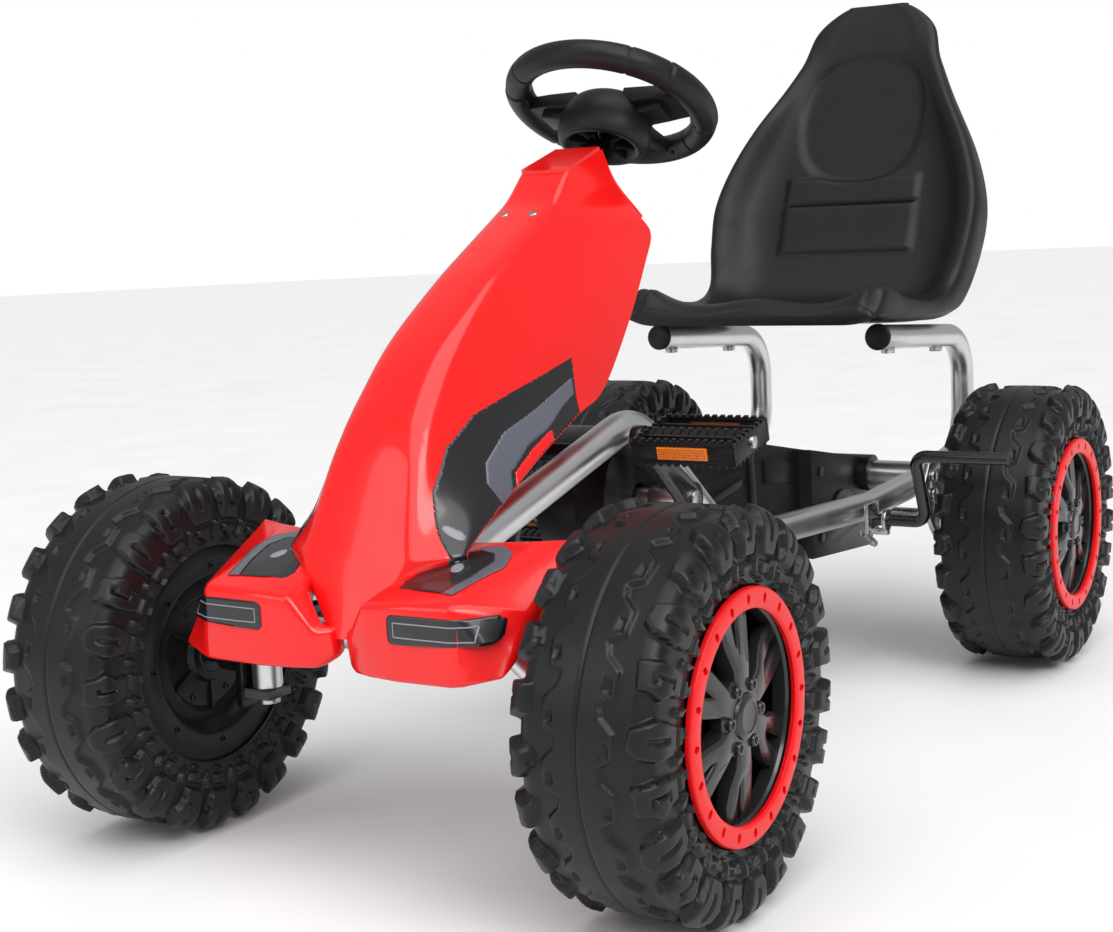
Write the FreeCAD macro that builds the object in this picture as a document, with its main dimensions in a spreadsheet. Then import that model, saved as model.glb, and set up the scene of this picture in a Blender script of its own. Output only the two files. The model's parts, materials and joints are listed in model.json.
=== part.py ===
import FreeCAD, Part
import Sketcher
import math
import os

from FreeCAD import Placement, Rotation, Vector

# Child's pedal go-kart. Millimetres, +X forward, +Y to the rider's left, +Z up.
# The origin is on the ground under the middle of the kart's overall box.

os.makedirs("parts", exist_ok=True)
doc = FreeCAD.newDocument("pedal_kart")

DIMENSIONS = (
    ("wheelbase", 765),
    ("rear_axle_x", -340),
    ("wheel_radius", 145),
    ("tyre_width", 106),
    ("tyre_wall", 4),
    ("tyre_opening", 88.5),
    ("front_track_half", 287.5),
    ("rear_track_half", 292.7),
    ("bead_ring_outer", 88.2),
    ("bead_ring_inner", 73.2),
    ("bead_ring_thickness", 4),
    ("bead_hole_count", 20),
    ("bead_hole_radius", 2.6),
    ("spoke_count", 6),
    ("axle_radius", 8),
    ("running_gap", 0.05),
    ("frame_tube_radius", 14),
    ("tube_wall", 1.8),
    ("seat_tube_radius", 12.5),
    ("seat_tube_y", 125),
    ("cross_tube_x", -357),
    ("cross_tube_z", 187),
    ("bracket_y", 144),
    ("bracket_thickness", 5),
    ("crank_x", 124),
    ("crank_z", 236),
    ("crank_length", 106),
    ("crank_angle", 37),
    ("crank_arm_y", 84),
    ("crank_arm_thickness", 10),
    ("chainwheel_teeth", 24),
    ("sprocket_teeth", 12),
    ("chain_pitch", 12.7),
    ("chain_line_y", 1),
    ("sprocket_thickness", 4),
    ("pedal_length", 92),
    ("pedal_width", 64),
    ("pedal_height", 20),
    ("pedal_y", 98),
    ("spindle_radius", 5),
    ("case_split_y", 8),
    ("case_left_y", 38),
    ("case_rear_y", 52),
    ("case_right_y", -32),
    ("case_wall", 3),
    ("column_x", 79.5),
    ("column_z", 578),
    ("column_tilt", 28.5),
    ("column_length", 480),
    ("column_radius", 7),
    ("rim_radius", 83.5),
    ("rim_section", 12.5),
    ("kingpin_y", 138),
    ("kingpin_radius", 6),
    ("beam_radius", 11),
    ("beam_z", 172),
    ("beam_bend_y", 96),
    ("pitman_length", 48),
    ("cowl_wall", 4),
    ("brake_pivot_x", -210),
    ("brake_pivot_z", 163),
    ("brake_rod_radius", 6),
)


class Size:
    """A length that keeps its number and the sheet expression that gives it."""

    def __init__(self, value, text=None):
        self.value = value
        self.text = text if text is not None else repr(value)

    def __add__(self, other):
        other = as_size(other)
        return Size(self.value + other.value, f"({self.text} + {other.text})")

    def __sub__(self, other):
        other = as_size(other)
        return Size(self.value - other.value, f"({self.text} - {other.text})")

    def __mul__(self, other):
        other = as_size(other)
        return Size(self.value * other.value, f"({self.text} * {other.text})")

    def __neg__(self):
        return Size(-self.value, f"(-1 * {self.text})")


def as_size(value):
    return value if isinstance(value, Size) else Size(value)


sheet = doc.addObject("Spreadsheet::Sheet", "Dims")
D = {}
for row, (alias, number) in enumerate(DIMENSIONS, start=1):
    sheet.set(f"A{row}", alias)
    sheet.set(f"B{row}", str(number))
    sheet.setAlias(f"B{row}", alias)
    D[alias] = Size(number, f"Dims.{alias}")
doc.recompute()


def num(alias):
    """The driving dimension's number, read from the sheet."""
    return float(sheet.get(alias))


PARTS = []


def keep(item, label):
    item.Label = label
    PARTS.append(item)
    return item


def bind(item, prop, size):
    item.setExpression(prop, as_size(size).text)


def place(item, x, y, z, rotation=None):
    """Puts a sub-part in the kart, with its position bound to the sheet."""
    spin = rotation if rotation is not None else Rotation()
    spot = [as_size(value) for value in (x, y, z)]
    item.Placement = Placement(Vector(*[size.value for size in spot]), spin)
    for axis, size in zip("xyz", spot):
        if size.text.count("Dims"):
            item.setExpression(f"Placement.Base.{axis}", size.text)
    return item


# ---- PartDesign helpers -------------------------------------------------------------------

LEFT_OUT = Rotation(Vector(1, 0, 0), -90)
RIGHT_OUT = Rotation(Vector(1, 0, 0), 90)
SIDE_VIEW = Rotation(Vector(1, 0, 0), 90)


def new_body(label):
    body = doc.addObject("PartDesign::Body", label)
    return keep(body, label)


def origin_feature(body, role):
    return next(item for item in body.Origin.OriginFeatures if item.Role == role)


def new_sketch(body, role="XY_Plane"):
    sketch = body.newObject("Sketcher::SketchObject", "Sketch")
    sketch.AttachmentSupport = [(origin_feature(body, role), "")]
    sketch.MapMode = "FlatFace"
    return sketch


def fix_point(sketch, geometry, point, x, y):
    """Dimensions one sketch point from the sketch's origin."""
    for kind, axis, size in (("DistanceX", -2, as_size(x)), ("DistanceY", -1, as_size(y))):
        if size.value == 0:
            sketch.addConstraint(Sketcher.Constraint("PointOnObject", geometry, point, axis))
            continue
        ends = (-1, 1, geometry, point) if size.value > 0 else (geometry, point, -1, 1)
        index = sketch.addConstraint(Sketcher.Constraint(kind, *ends, abs(size.value)))
        text = size.text if size.value > 0 else f"-1 * {size.text}"
        sketch.setExpression(f"Constraints[{index}]", text)


def draw_polygon(sketch, points):
    corners = [(as_size(x), as_size(y)) for x, y in points]
    first = sketch.GeometryCount
    vectors = [Vector(x.value, y.value, 0) for x, y in corners]
    for start, end in zip(vectors, vectors[1:] + vectors[:1]):
        sketch.addGeometry(Part.LineSegment(start, end), False)
    count = len(corners)
    for index in range(count):
        following = (index + 1) % count
        sketch.addConstraint(
            Sketcher.Constraint("Coincident", first + index, 2, first + following, 1)
        )
    for index, (x, y) in enumerate(corners):
        fix_point(sketch, first + index, 1, x, y)
    return sketch


def draw_circle(sketch, radius, x=0, y=0):
    radius = as_size(radius)
    centre = (as_size(x), as_size(y))
    spot = Vector(centre[0].value, centre[1].value, 0)
    index = sketch.addGeometry(Part.Circle(spot, Vector(0, 0, 1), radius.value), False)
    bound = sketch.addConstraint(Sketcher.Constraint("Radius", index, radius.value))
    sketch.setExpression(f"Constraints[{bound}]", radius.text)
    fix_point(sketch, index, 3, *centre)
    return sketch


def add_pad(body, sketch, length, backwards=False):
    pad = body.newObject("PartDesign::Pad", "Pad")
    pad.Profile = sketch
    pad.Reversed = backwards
    bind(pad, "Length", length)
    return pad


def add_pocket(body, sketch, length, backwards=False):
    pocket = body.newObject("PartDesign::Pocket", "Pocket")
    pocket.Profile = sketch
    pocket.Reversed = backwards
    bind(pocket, "Length", length)
    return pocket


def add_revolution(body, sketch):
    turned = body.newObject("PartDesign::Revolution", "Revolution")
    turned.Profile = sketch
    turned.ReferenceAxis = (sketch, ["V_Axis"])
    turned.Angle = 360
    return turned


def add_polar(body, feature, count):
    pattern = body.newObject("PartDesign::PolarPattern", "PolarPattern")
    pattern.Originals = [feature]
    pattern.Axis = (origin_feature(body, "Z_Axis"), [""])
    pattern.Angle = 360
    bind(pattern, "Occurrences", count)
    body.Tip = pattern
    return pattern


def turned_body(label, outline):
    """A body of revolution about its own Z axis from an outline of (radius, height)."""
    body = new_body(label)
    add_revolution(body, draw_polygon(new_sketch(body, "XZ_Plane"), outline))
    return body


def plate_body(label, outline, thickness, holes=()):
    """A flat plate in its own XY plane with round holes given as (x, y, radius)."""
    body = new_body(label)
    add_pad(body, draw_polygon(new_sketch(body), outline), thickness)
    for x, y, radius in holes:
        add_pocket(body, draw_circle(new_sketch(body), radius, x, y), thickness, True)
    return body


# ---- Part helpers -------------------------------------------------------------------------


def cylinder(radius, height, base=(0, 0, 0), rotation=None):
    item = doc.addObject("Part::Cylinder", "Cylinder")
    bind(item, "Radius", radius)
    bind(item, "Height", height)
    return place(item, *base, rotation)


def box(length, width, height, base=(0, 0, 0), rotation=None):
    item = doc.addObject("Part::Box", "Box")
    bind(item, "Length", length)
    bind(item, "Width", width)
    bind(item, "Height", height)
    return place(item, *base, rotation)


def cut(base, tool):
    item = doc.addObject("Part::Cut", "Cut")
    item.Base = base
    item.Tool = tool
    return item


def fuse(*items):
    item = doc.addObject("Part::MultiFuse", "Fusion")
    item.Shapes = list(items)
    return item


def group(*items):
    item = doc.addObject("Part::Compound", "Group")
    item.Links = list(items)
    return item


def bush(inner, outer, length, base=(0, 0, 0), rotation=None):
    return cut(
        cylinder(outer, length, base, rotation), cylinder(inner, length, base, rotation)
    )


def shaped(label, shape, placement=None):
    """A sub-part whose shape comes straight from Part's functions."""
    item = doc.addObject("Part::Feature", label)
    item.Shape = shape
    if placement is not None:
        item.Placement = placement
    return keep(item, label)


def bent_path(corners, radius):
    """A wire of straight runs joined by tangent arcs of one bend radius."""
    edges = []
    start = corners[0]
    for before, corner, after in zip(corners, corners[1:], corners[2:]):
        into = (corner - before).normalize()
        out = (after - corner).normalize()
        half_turn = into.getAngle(out) / 2
        setback = radius * math.tan(half_turn)
        towards_centre = (out - into).normalize()
        centre = corner + towards_centre * (radius / math.cos(half_turn))
        arc_start = corner - into * setback
        arc_end = corner + out * setback
        edges.append(Part.makeLine(start, arc_start))
        edges.append(Part.Arc(arc_start, centre - towards_centre * radius, arc_end).toShape())
        start = arc_end
    edges.append(Part.makeLine(start, corners[-1]))
    return Part.Wire(edges)


def swept_rod(corners, bend_radius, rod_radius):
    path = bent_path(corners, bend_radius)
    direction = corners[1] - corners[0]
    circle = Part.Wire([Part.Circle(corners[0], direction, rod_radius).toShape()])
    return path.makePipeShell([circle], True, False)


def swept_tube(corners, bend_radius, outer_radius, wall):
    outer = swept_rod(corners, bend_radius, outer_radius)
    return outer.cut(swept_rod(corners, bend_radius, outer_radius - wall))


def mirror_y(shape):
    return shape.mirror(Vector(0, 0, 0), Vector(0, 1, 0))


def bar(start, end, radius):
    """A straight round bar between two points."""
    return Part.makeCylinder(radius, (end - start).Length, start, end - start)


def lofted(sections):
    wires = [Part.makePolygon(points + points[:1]) for points in sections]
    return Part.makeLoft(wires, True, True)


# ---- Wheels -------------------------------------------------------------------------------
# Each wheel is drawn about its own Z axis, from its inner side (0) to its outer side.

R = D["wheel_radius"]
W = D["tyre_width"]


def tyre(label):
    """A hollow moulded tyre: tread, shoulders and two side walls, open to the hub."""
    wall = D["tyre_wall"]
    mouth = D["tyre_opening"]
    outline = [
        (mouth, Size(8)),
        (R - 30, Size(0)),
        (R - 6, Size(9)),
        (R, Size(26)),
        (R, W - 26),
        (R - 6, W - 9),
        (R - 30, W),
        (mouth, W - 2),
        (mouth, W - 2 - wall),
        (R - 31, W - wall),
        (R - 10, W - 11),
        (R - wall, W - 27),
        (R - wall, Size(27)),
        (R - 10, Size(11)),
        (R - 31, wall),
        (mouth, wall + 8),
    ]
    return turned_body(label, outline)


def rim(label):
    """Hub, dished inner disc and barrel in one moulding, open to the outside."""
    bore = D["axle_radius"] + D["running_gap"]
    flange = D["bead_ring_outer"]
    outline = [
        (bore, Size(14)),
        (Size(24), Size(14)),
        (Size(32), Size(20)),
        (Size(56), Size(20)),
        (Size(66), Size(9)),
        (flange, Size(9)),
        (flange, Size(13)),
        (Size(84), Size(13)),
        (Size(84), W - D["bead_ring_thickness"]),
        (Size(80), W - D["bead_ring_thickness"]),
        (Size(80), Size(13)),
        (Size(68), Size(13)),
        (Size(58), Size(24)),
        (Size(19), Size(24)),
        (Size(19), Size(85.7)),
        (bore, Size(85.7)),
    ]
    return turned_body(label, outline)


def bead_ring(label):
    """Flat ring on the outside of the wheel with a circle of holes."""
    body = new_body(label)
    sketch = draw_circle(new_sketch(body), D["bead_ring_outer"])
    draw_circle(sketch, D["bead_ring_inner"])
    add_pad(body, sketch, D["bead_ring_thickness"])
    middle = (D["bead_ring_outer"] + D["bead_ring_inner"]) * 0.5
    hole = draw_circle(new_sketch(body), D["bead_hole_radius"], middle, 0)
    pocket = add_pocket(body, hole, D["bead_ring_thickness"], True)
    add_polar(body, pocket, D["bead_hole_count"])
    return body


def spoke_insert(label):
    """Six split spokes between a hub disc with a domed cap and a thin outer ring."""
    body = new_body(label)
    depth = Size(10)
    ring = draw_circle(new_sketch(body), Size(79.5))
    draw_circle(ring, Size(72))
    add_pad(body, ring, depth)
    hub = draw_circle(new_sketch(body), Size(28))
    draw_circle(hub, Size(12))
    add_pad(body, hub, depth)
    spoke = draw_polygon(
        new_sketch(body), [(Size(26), -11), (Size(74), -14), (Size(74), 14), (Size(26), 11)]
    )
    add_polar(body, add_pad(body, spoke, depth), D["spoke_count"])
    slot = draw_polygon(
        new_sketch(body), [(Size(42), -2), (Size(71), -4), (Size(71), 4), (Size(42), 2)]
    )
    add_polar(body, add_pocket(body, slot, depth, True), D["spoke_count"])
    cap = [(0, 10), (24, 10), (24, 14), (17, 18), (0, 19)]
    add_revolution(body, draw_polygon(new_sketch(body, "XZ_Plane"), cap))
    return body


def wheel(name, axle_x, outer_y, side):
    """One complete wheel; side is +1 on the rider's left and -1 on the right."""
    turn = LEFT_OUT if side > 0 else RIGHT_OUT
    height = D["wheel_radius"]
    inner_y = outer_y - W

    def at(item, depth):
        offset = inner_y + depth
        place(item, axle_x, offset if side > 0 else -offset, height, turn)

    at(tyre(f"tyre_{name}"), Size(0))
    at(rim(f"rim_{name}"), Size(0))
    at(bead_ring(f"bead_ring_{name}"), W - D["bead_ring_thickness"])
    at(spoke_insert(f"spokes_{name}"), Size(86))


FRONT_X = D["rear_axle_x"] + D["wheelbase"]
for side, side_name in ((1, "left"), (-1, "right")):
    wheel(f"front_{side_name}", FRONT_X, D["front_track_half"], side)
    wheel(f"rear_{side_name}", D["rear_axle_x"], D["rear_track_half"], side)

# ---- Frame --------------------------------------------------------------------------------

TUBE_R = num("frame_tube_radius")
WALL = num("tube_wall")
AXLE_Z = num("wheel_radius")
FRONT_AXLE_X = num("rear_axle_x") + num("wheelbase")
CROSS_X = num("cross_tube_x")
CROSS_Z = num("cross_tube_z")
BRACKET_Y = num("bracket_y")
BEAM_Z = num("beam_z")
CRANK = Vector(num("crank_x"), 0, num("crank_z"))

cross_solid = Part.makeCylinder(
    TUBE_R, 2 * BRACKET_Y, Vector(CROSS_X, -BRACKET_Y, CROSS_Z), Vector(0, 1, 0)
)
cross_bore = Part.makeCylinder(
    TUBE_R - WALL, 2 * BRACKET_Y, Vector(CROSS_X, -BRACKET_Y, CROSS_Z), Vector(0, 1, 0)
)
shaped("rear_cross_tube", cross_solid.cut(cross_bore))

# Each main tube runs back from the front axle, over the crank, down and out to the rear cross tube.
MAIN_ROUTE = [
    Vector(424, 52, 240),
    Vector(174, 62, 311),
    Vector(15, 68, 176),
    Vector(-240, 104, 171),
    Vector(CROSS_X, 128, CROSS_Z),
]
MAIN_BEND = 52
main_solid = swept_rod(MAIN_ROUTE, MAIN_BEND, TUBE_R)
main_tube = swept_tube(MAIN_ROUTE, MAIN_BEND, TUBE_R, WALL).cut(cross_solid)
shaped("frame_tube_left", main_tube)
shaped("frame_tube_right", mirror_y(main_tube))

# The seat tubes are C-shaped: back under the seat, round, and forward to the cross tube.
SEAT_Y = num("seat_tube_y")
SEAT_TUBE_R = num("seat_tube_radius")
SEAT_ROUTE = [
    Vector(-226, SEAT_Y, 347),
    Vector(-474, SEAT_Y, 329),
    Vector(-474, SEAT_Y, 204),
    Vector(CROSS_X, SEAT_Y, CROSS_Z),
]
seat_solid = swept_rod(SEAT_ROUTE, 50, SEAT_TUBE_R)
seat_tube = swept_tube(SEAT_ROUTE, 50, SEAT_TUBE_R, WALL).cut(cross_solid)
shaped("seat_tube_left", seat_tube)
shaped("seat_tube_right", mirror_y(seat_tube))


def seat_tube_cap(side):
    """Plastic end cap on the open front end of one seat tube."""
    run = (SEAT_ROUTE[0] - SEAT_ROUTE[1]).normalize()
    cap = Part.makeCylinder(SEAT_TUBE_R + 1, 5, SEAT_ROUTE[0], run)
    return cap if side > 0 else mirror_y(cap)


shaped("seat_tube_caps", Part.Compound([seat_tube_cap(1), seat_tube_cap(-1)]))


UPRIGHT_TOP = AXLE_Z + 100


def beam_upright(side):
    """Post from the beam up to the main tube's underside, fitted round the tube."""
    foot = Vector(FRONT_AXLE_X - 12, side * 52, BEAM_Z)
    post = bar(foot, Vector(foot.x, foot.y, UPRIGHT_TOP), 10)
    main = main_solid if side > 0 else mirror_y(main_solid)
    return min(post.cut(main).Solids, key=lambda solid: solid.BoundBox.ZMin)


def front_beam():
    """Axle beam, bent down at both ends to a kingpin sleeve, with an upright to each main tube."""
    kingpin_y = num("kingpin_y")
    bend_y = num("beam_bend_y")
    radius = num("beam_radius")
    beam = bar(
        Vector(FRONT_AXLE_X, -bend_y, BEAM_Z), Vector(FRONT_AXLE_X, bend_y, BEAM_Z), radius
    )
    for side in (1, -1):
        bend = Vector(FRONT_AXLE_X, side * bend_y, BEAM_Z)
        end = Vector(FRONT_AXLE_X, side * (kingpin_y - 12), AXLE_Z + 3)
        sleeve_foot = Vector(FRONT_AXLE_X, side * kingpin_y, AXLE_Z - 22)
        sleeve = Part.makeCylinder(12, 44, sleeve_foot)
        for piece in (Part.makeSphere(radius, bend), bar(bend, end, 9), sleeve, beam_upright(side)):
            beam = beam.fuse(piece)
    for side in (1, -1):
        sleeve_foot = Vector(FRONT_AXLE_X, side * kingpin_y, AXLE_Z - 22)
        beam = beam.cut(Part.makeCylinder(num("kingpin_radius"), 44, sleeve_foot))
    return beam.removeSplitter()


beam_shape = front_beam()
shaped("front_beam", beam_shape)

# Rear bracket plates stand outside the frame and carry the axle bearings.
BEARING_R = Size(18)
BRACKET_OUTLINE = [
    (-380, 208),
    (-300, 208),
    (-284, 186),
    (-292, 158),
    (-325, 122),
    (-380, 122),
]
BOLT_SPOTS = [(-307, 194), (-307, 175), (-366, 130), (-372, 165)]
BOLT_R = Size(3)
for side, side_name in ((1, "left"), (-1, "right")):
    holes = [(D["rear_axle_x"], D["wheel_radius"], BEARING_R)]
    holes += [(x, z, BOLT_R) for x, z in BOLT_SPOTS]
    plate = plate_body(
        f"rear_bracket_{side_name}", BRACKET_OUTLINE, D["bracket_thickness"], holes
    )
    outer = D["bracket_y"] + D["bracket_thickness"]
    place(plate, 0, outer if side > 0 else -D["bracket_y"], 0, SIDE_VIEW)


def bracket_bolts(side):
    """Bolts with round heads outside the plate and plain nuts inside it."""
    plate = D["bracket_y"]
    bolts = []
    for x, z in BOLT_SPOTS:
        start = plate - 8 if side > 0 else -(plate - 8)
        face = plate + D["bracket_thickness"]
        turn = LEFT_OUT if side > 0 else RIGHT_OUT
        bolts.append(cylinder(BOLT_R, D["bracket_thickness"] + 8, (x, start, z), turn))
        bolts.append(cylinder(Size(6), Size(4), (x, face if side > 0 else -face, z), turn))
    return [fuse(shank, head) for shank, head in zip(bolts[::2], bolts[1::2])]


keep(group(*(bracket_bolts(1) + bracket_bolts(-1))), "bracket_bolts")



def bush_pair(outer, length, start):
    """Two equal bushes on the rear axle, one each side, starting that far from the middle."""
    inner = D["axle_radius"] + D["running_gap"]
    pieces = []
    for side in (1, -1):
        turn = LEFT_OUT if side > 0 else RIGHT_OUT
        spot = (D["rear_axle_x"], start if side > 0 else -start, D["wheel_radius"])
        pieces.append(bush(inner, outer, length, spot, turn))
    return group(*pieces)


keep(bush_pair(BEARING_R, Size(18), D["bracket_y"] - 6), "axle_bearings")


def crank_hanger(side):
    """Bearing sleeve for the crank axle with a gusset up to the main tube."""
    middle = CRANK + Vector(0, 52, 0)
    sleeve = bar(middle, middle + Vector(0, 26, 0), 10.4)
    gusset = Part.makeBox(18, 12, 44, CRANK + Vector(-22, 59, -4))
    bore = bar(middle, middle + Vector(0, 26, 0), num("axle_radius") + num("running_gap"))
    hanger = sleeve.fuse(gusset).cut(bore).cut(main_solid).removeSplitter()
    main_side = max(hanger.Solids, key=lambda solid: solid.Volume)
    return main_side if side > 0 else mirror_y(main_side)


shaped("crank_hangers", Part.Compound([crank_hanger(1), crank_hanger(-1)]))

# ---- Seat ---------------------------------------------------------------------------------
# The bucket is one moulding. Each section gives the place of the sitting surface, the angle of
# the surface from level, the half width, the height of the side bolster and the thickness.

SEAT_SECTIONS = (
    (-184, 376, -6, 140, 4, 14),
    (-206, 386, -4, 146, 18, 24),
    (-262, 377, 3, 149, 12, 19),
    (-345, 372, 3, 150, 10, 18),
    (-400, 380, 28, 152, 24, 24),
    (-436, 425, 60, 160, 34, 22),
    (-458, 475, 65, 161, 36, 20),
    (-482, 532, 66, 143, 32, 18),
    (-510, 602, 67, 106, 22, 16),
    (-536, 666, 68, 74, 14, 15),
    (-555.9, 708, 70, 40, 8, 15),
)


def seat_section(x, z, angle, half_width, bolster, thickness):
    """One cross-section of the bucket, ten points wide across the kart."""
    back = Vector(-math.cos(math.radians(angle)), 0, math.sin(math.radians(angle)))
    normal = Vector(-back.z, 0, back.x) * -1
    inner = half_width * 0.72
    half = [
        (inner, 0),
        (half_width - 12, bolster),
        (half_width, bolster - 4),
        (half_width - 2, -thickness * 0.5),
        (half_width - 16, -thickness),
    ]
    outline = half + [(-y, n) for y, n in reversed(half)]
    return [Vector(x, y, z) + normal * n for y, n in outline]


shaped("seat_bucket", lofted([seat_section(*section) for section in SEAT_SECTIONS]))



def seat_bolt(x, z, side):
    """Bolt up through a seat tube into the bucket, its head under the tube."""
    foot = Vector(x, side * SEAT_Y, z - SEAT_TUBE_R - 4)
    head = Part.makeCylinder(7, 6, foot)
    tube = seat_solid if side > 0 else mirror_y(seat_solid)
    return head.cut(tube).Solids[0]


SEAT_BOLT_SPOTS = ((-250, 345.2), (-390, 335.0))
seat_bolts = [seat_bolt(x, z, side) for x, z in SEAT_BOLT_SPOTS for side in (1, -1)]
shaped("seat_bolts", Part.Compound(seat_bolts))

# ---- Chain drive --------------------------------------------------------------------------


def pitch_radius(teeth):
    return num("chain_pitch") / (2 * math.sin(math.pi / teeth))


def toothed_wheel(label, teeth, bore):
    """A chain sprocket with flat-topped teeth, drawn in its own XY plane."""
    body = new_body(label)
    pitch = pitch_radius(teeth.value)
    root = Size(round(pitch - 4.2, 2))
    tip = Size(round(pitch + 3.2, 2))
    disc = draw_circle(new_sketch(body), root)
    draw_circle(disc, bore)
    add_pad(body, disc, D["sprocket_thickness"])
    tooth = draw_polygon(
        new_sketch(body), [(root - 2, -3), (tip, -1.2), (tip, 1.2), (root - 2, 3)]
    )
    add_polar(body, add_pad(body, tooth, D["sprocket_thickness"]), teeth)
    return body


SPROCKET_Y = D["chain_line_y"] + D["sprocket_thickness"]
place(
    toothed_wheel("chainwheel", D["chainwheel_teeth"], D["axle_radius"]),
    D["crank_x"],
    SPROCKET_Y,
    D["crank_z"],
    SIDE_VIEW,
)
place(
    toothed_wheel("rear_sprocket", D["sprocket_teeth"], D["axle_radius"]),
    D["rear_axle_x"],
    SPROCKET_Y,
    D["wheel_radius"],
    SIDE_VIEW,
)


def belt_outline(centre_1, radius_1, centre_2, radius_2, y, width):
    """The solid inside a belt run round two circles."""
    along = centre_2 - centre_1
    base = math.atan2(along.z, along.x)
    spread = math.acos((radius_1 - radius_2) / along.Length)
    corners = []
    for angle in (base + spread, base - spread):
        direction = Vector(math.cos(angle), 0, math.sin(angle))
        corners.append((centre_1 + direction * radius_1, centre_2 + direction * radius_2))
    (top_1, top_2), (low_1, low_2) = corners
    backward = along.normalize()
    edges = [
        Part.Arc(low_1, centre_1 - backward * radius_1, top_1).toShape(),
        Part.makeLine(top_1, top_2),
        Part.Arc(top_2, centre_2 + backward * radius_2, low_2).toShape(),
        Part.makeLine(low_2, low_1),
    ]
    face = Part.Face(Part.Wire(edges))
    face.translate(Vector(0, y, 0))
    return face.extrude(Vector(0, width, 0))


REAR_AXLE = Vector(num("rear_axle_x"), 0, AXLE_Z)
chain_inner = (
    pitch_radius(num("chainwheel_teeth")) + 3.7,
    pitch_radius(num("sprocket_teeth")) + 3.7,
)
CHAIN_WIDTH = 8
CHAIN_THICK = 3
chain_y = num("chain_line_y") - 2
chain_band = belt_outline(
    CRANK,
    chain_inner[0] + CHAIN_THICK,
    REAR_AXLE,
    chain_inner[1] + CHAIN_THICK,
    chain_y,
    CHAIN_WIDTH,
)
chain_gap = belt_outline(
    CRANK, chain_inner[0], REAR_AXLE, chain_inner[1], chain_y, CHAIN_WIDTH
)
shaped("drive_chain", chain_band.cut(chain_gap))

CASE_R = 61
BOOT_LENGTH = 11
CASE_TOP_FRONT = (113, 296)
CASE_LOW_FRONT = (134, 176)
CASE_FRONT_BLOCK = [CASE_LOW_FRONT, CASE_TOP_FRONT, (-240, 227), (-240, 114)]
CASE_REAR_BLOCK = [(-216, 231), (-372, 201), (-398, 182), (-398, 136), (-374, 103), (-216, 116)]


def inset(outline, wall):
    """The outline moved inwards by the wall, each side parallel to itself."""
    count = len(outline)
    area = 0
    for (x1, y1), (x2, y2) in zip(outline, outline[1:] + outline[:1]):
        area += x1 * y2 - x2 * y1
    turn = 1 if area > 0 else -1
    sides = []
    for (x1, y1), (x2, y2) in zip(outline, outline[1:] + outline[:1]):
        length = math.hypot(x2 - x1, y2 - y1)
        normal = (-(y2 - y1) / length * turn, (x2 - x1) / length * turn)
        sides.append(((x1 + normal[0] * wall, y1 + normal[1] * wall), (x2 - x1, y2 - y1)))
    moved = []
    for index in range(count):
        (px, py), (dx, dy) = sides[index - 1]
        (qx, qy), (ex, ey) = sides[index]
        cross = dx * ey - dy * ex
        share = ((qx - px) * ey - (qy - py) * ex) / cross
        moved.append((round(px + dx * share, 3), round(py + dy * share, 3)))
    return moved


def case_shell(side_name, face_y, rear_face_y):
    """Half of the chain case, a tray that opens at the split plane."""
    body = new_body(f"chain_case_{side_name}")
    left = side_name == "left"
    split = D["case_split_y"]
    front_depth = face_y - split if left else split - face_y
    rear_depth = rear_face_y - split if left else split - rear_face_y
    wall = D["case_wall"]
    crank_spot = (D["crank_x"], D["crank_z"])
    add_pad(body, draw_circle(new_sketch(body), Size(CASE_R), *crank_spot), front_depth, left)
    add_pad(body, draw_polygon(new_sketch(body), CASE_FRONT_BLOCK), front_depth, left)
    add_pad(body, draw_polygon(new_sketch(body), CASE_REAR_BLOCK), rear_depth, left)
    if left:
        boot = draw_circle(new_sketch(body), Size(20), D["cross_tube_x"], D["cross_tube_z"])
        add_pad(body, boot, rear_depth + BOOT_LENGTH, True)
    hollow = Size(CASE_R) - wall
    right = not left
    add_pocket(
        body, draw_circle(new_sketch(body), hollow, *crank_spot), front_depth - wall, right
    )
    front_inside = inset(CASE_FRONT_BLOCK, num("case_wall"))
    rear_inside = inset(CASE_REAR_BLOCK, num("case_wall"))
    add_pocket(body, draw_polygon(new_sketch(body), front_inside), front_depth - wall, right)
    add_pocket(body, draw_polygon(new_sketch(body), rear_inside), rear_depth - wall, right)
    holes = (
        (D["crank_x"], D["crank_z"], Size(12)),
        (D["rear_axle_x"], D["wheel_radius"], Size(11)),
        (D["cross_tube_x"], D["cross_tube_z"], D["frame_tube_radius"] + 0.4),
    )
    for x, z, radius in holes:
        reach = rear_depth + BOOT_LENGTH + 1
        add_pocket(body, draw_circle(new_sketch(body), radius, x, z), reach, right)
    place(body, 0, split, 0, SIDE_VIEW)


case_shell("left", D["case_left_y"], D["case_rear_y"])
case_shell("right", D["case_right_y"], D["case_right_y"])

CRANK_AXLE_END = D["crank_arm_y"] + D["crank_arm_thickness"] + 2
keep(
    cylinder(
        D["axle_radius"],
        CRANK_AXLE_END * 2,
        (D["crank_x"], -CRANK_AXLE_END, D["crank_z"]),
        LEFT_OUT,
    ),
    "crank_axle",
)


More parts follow.
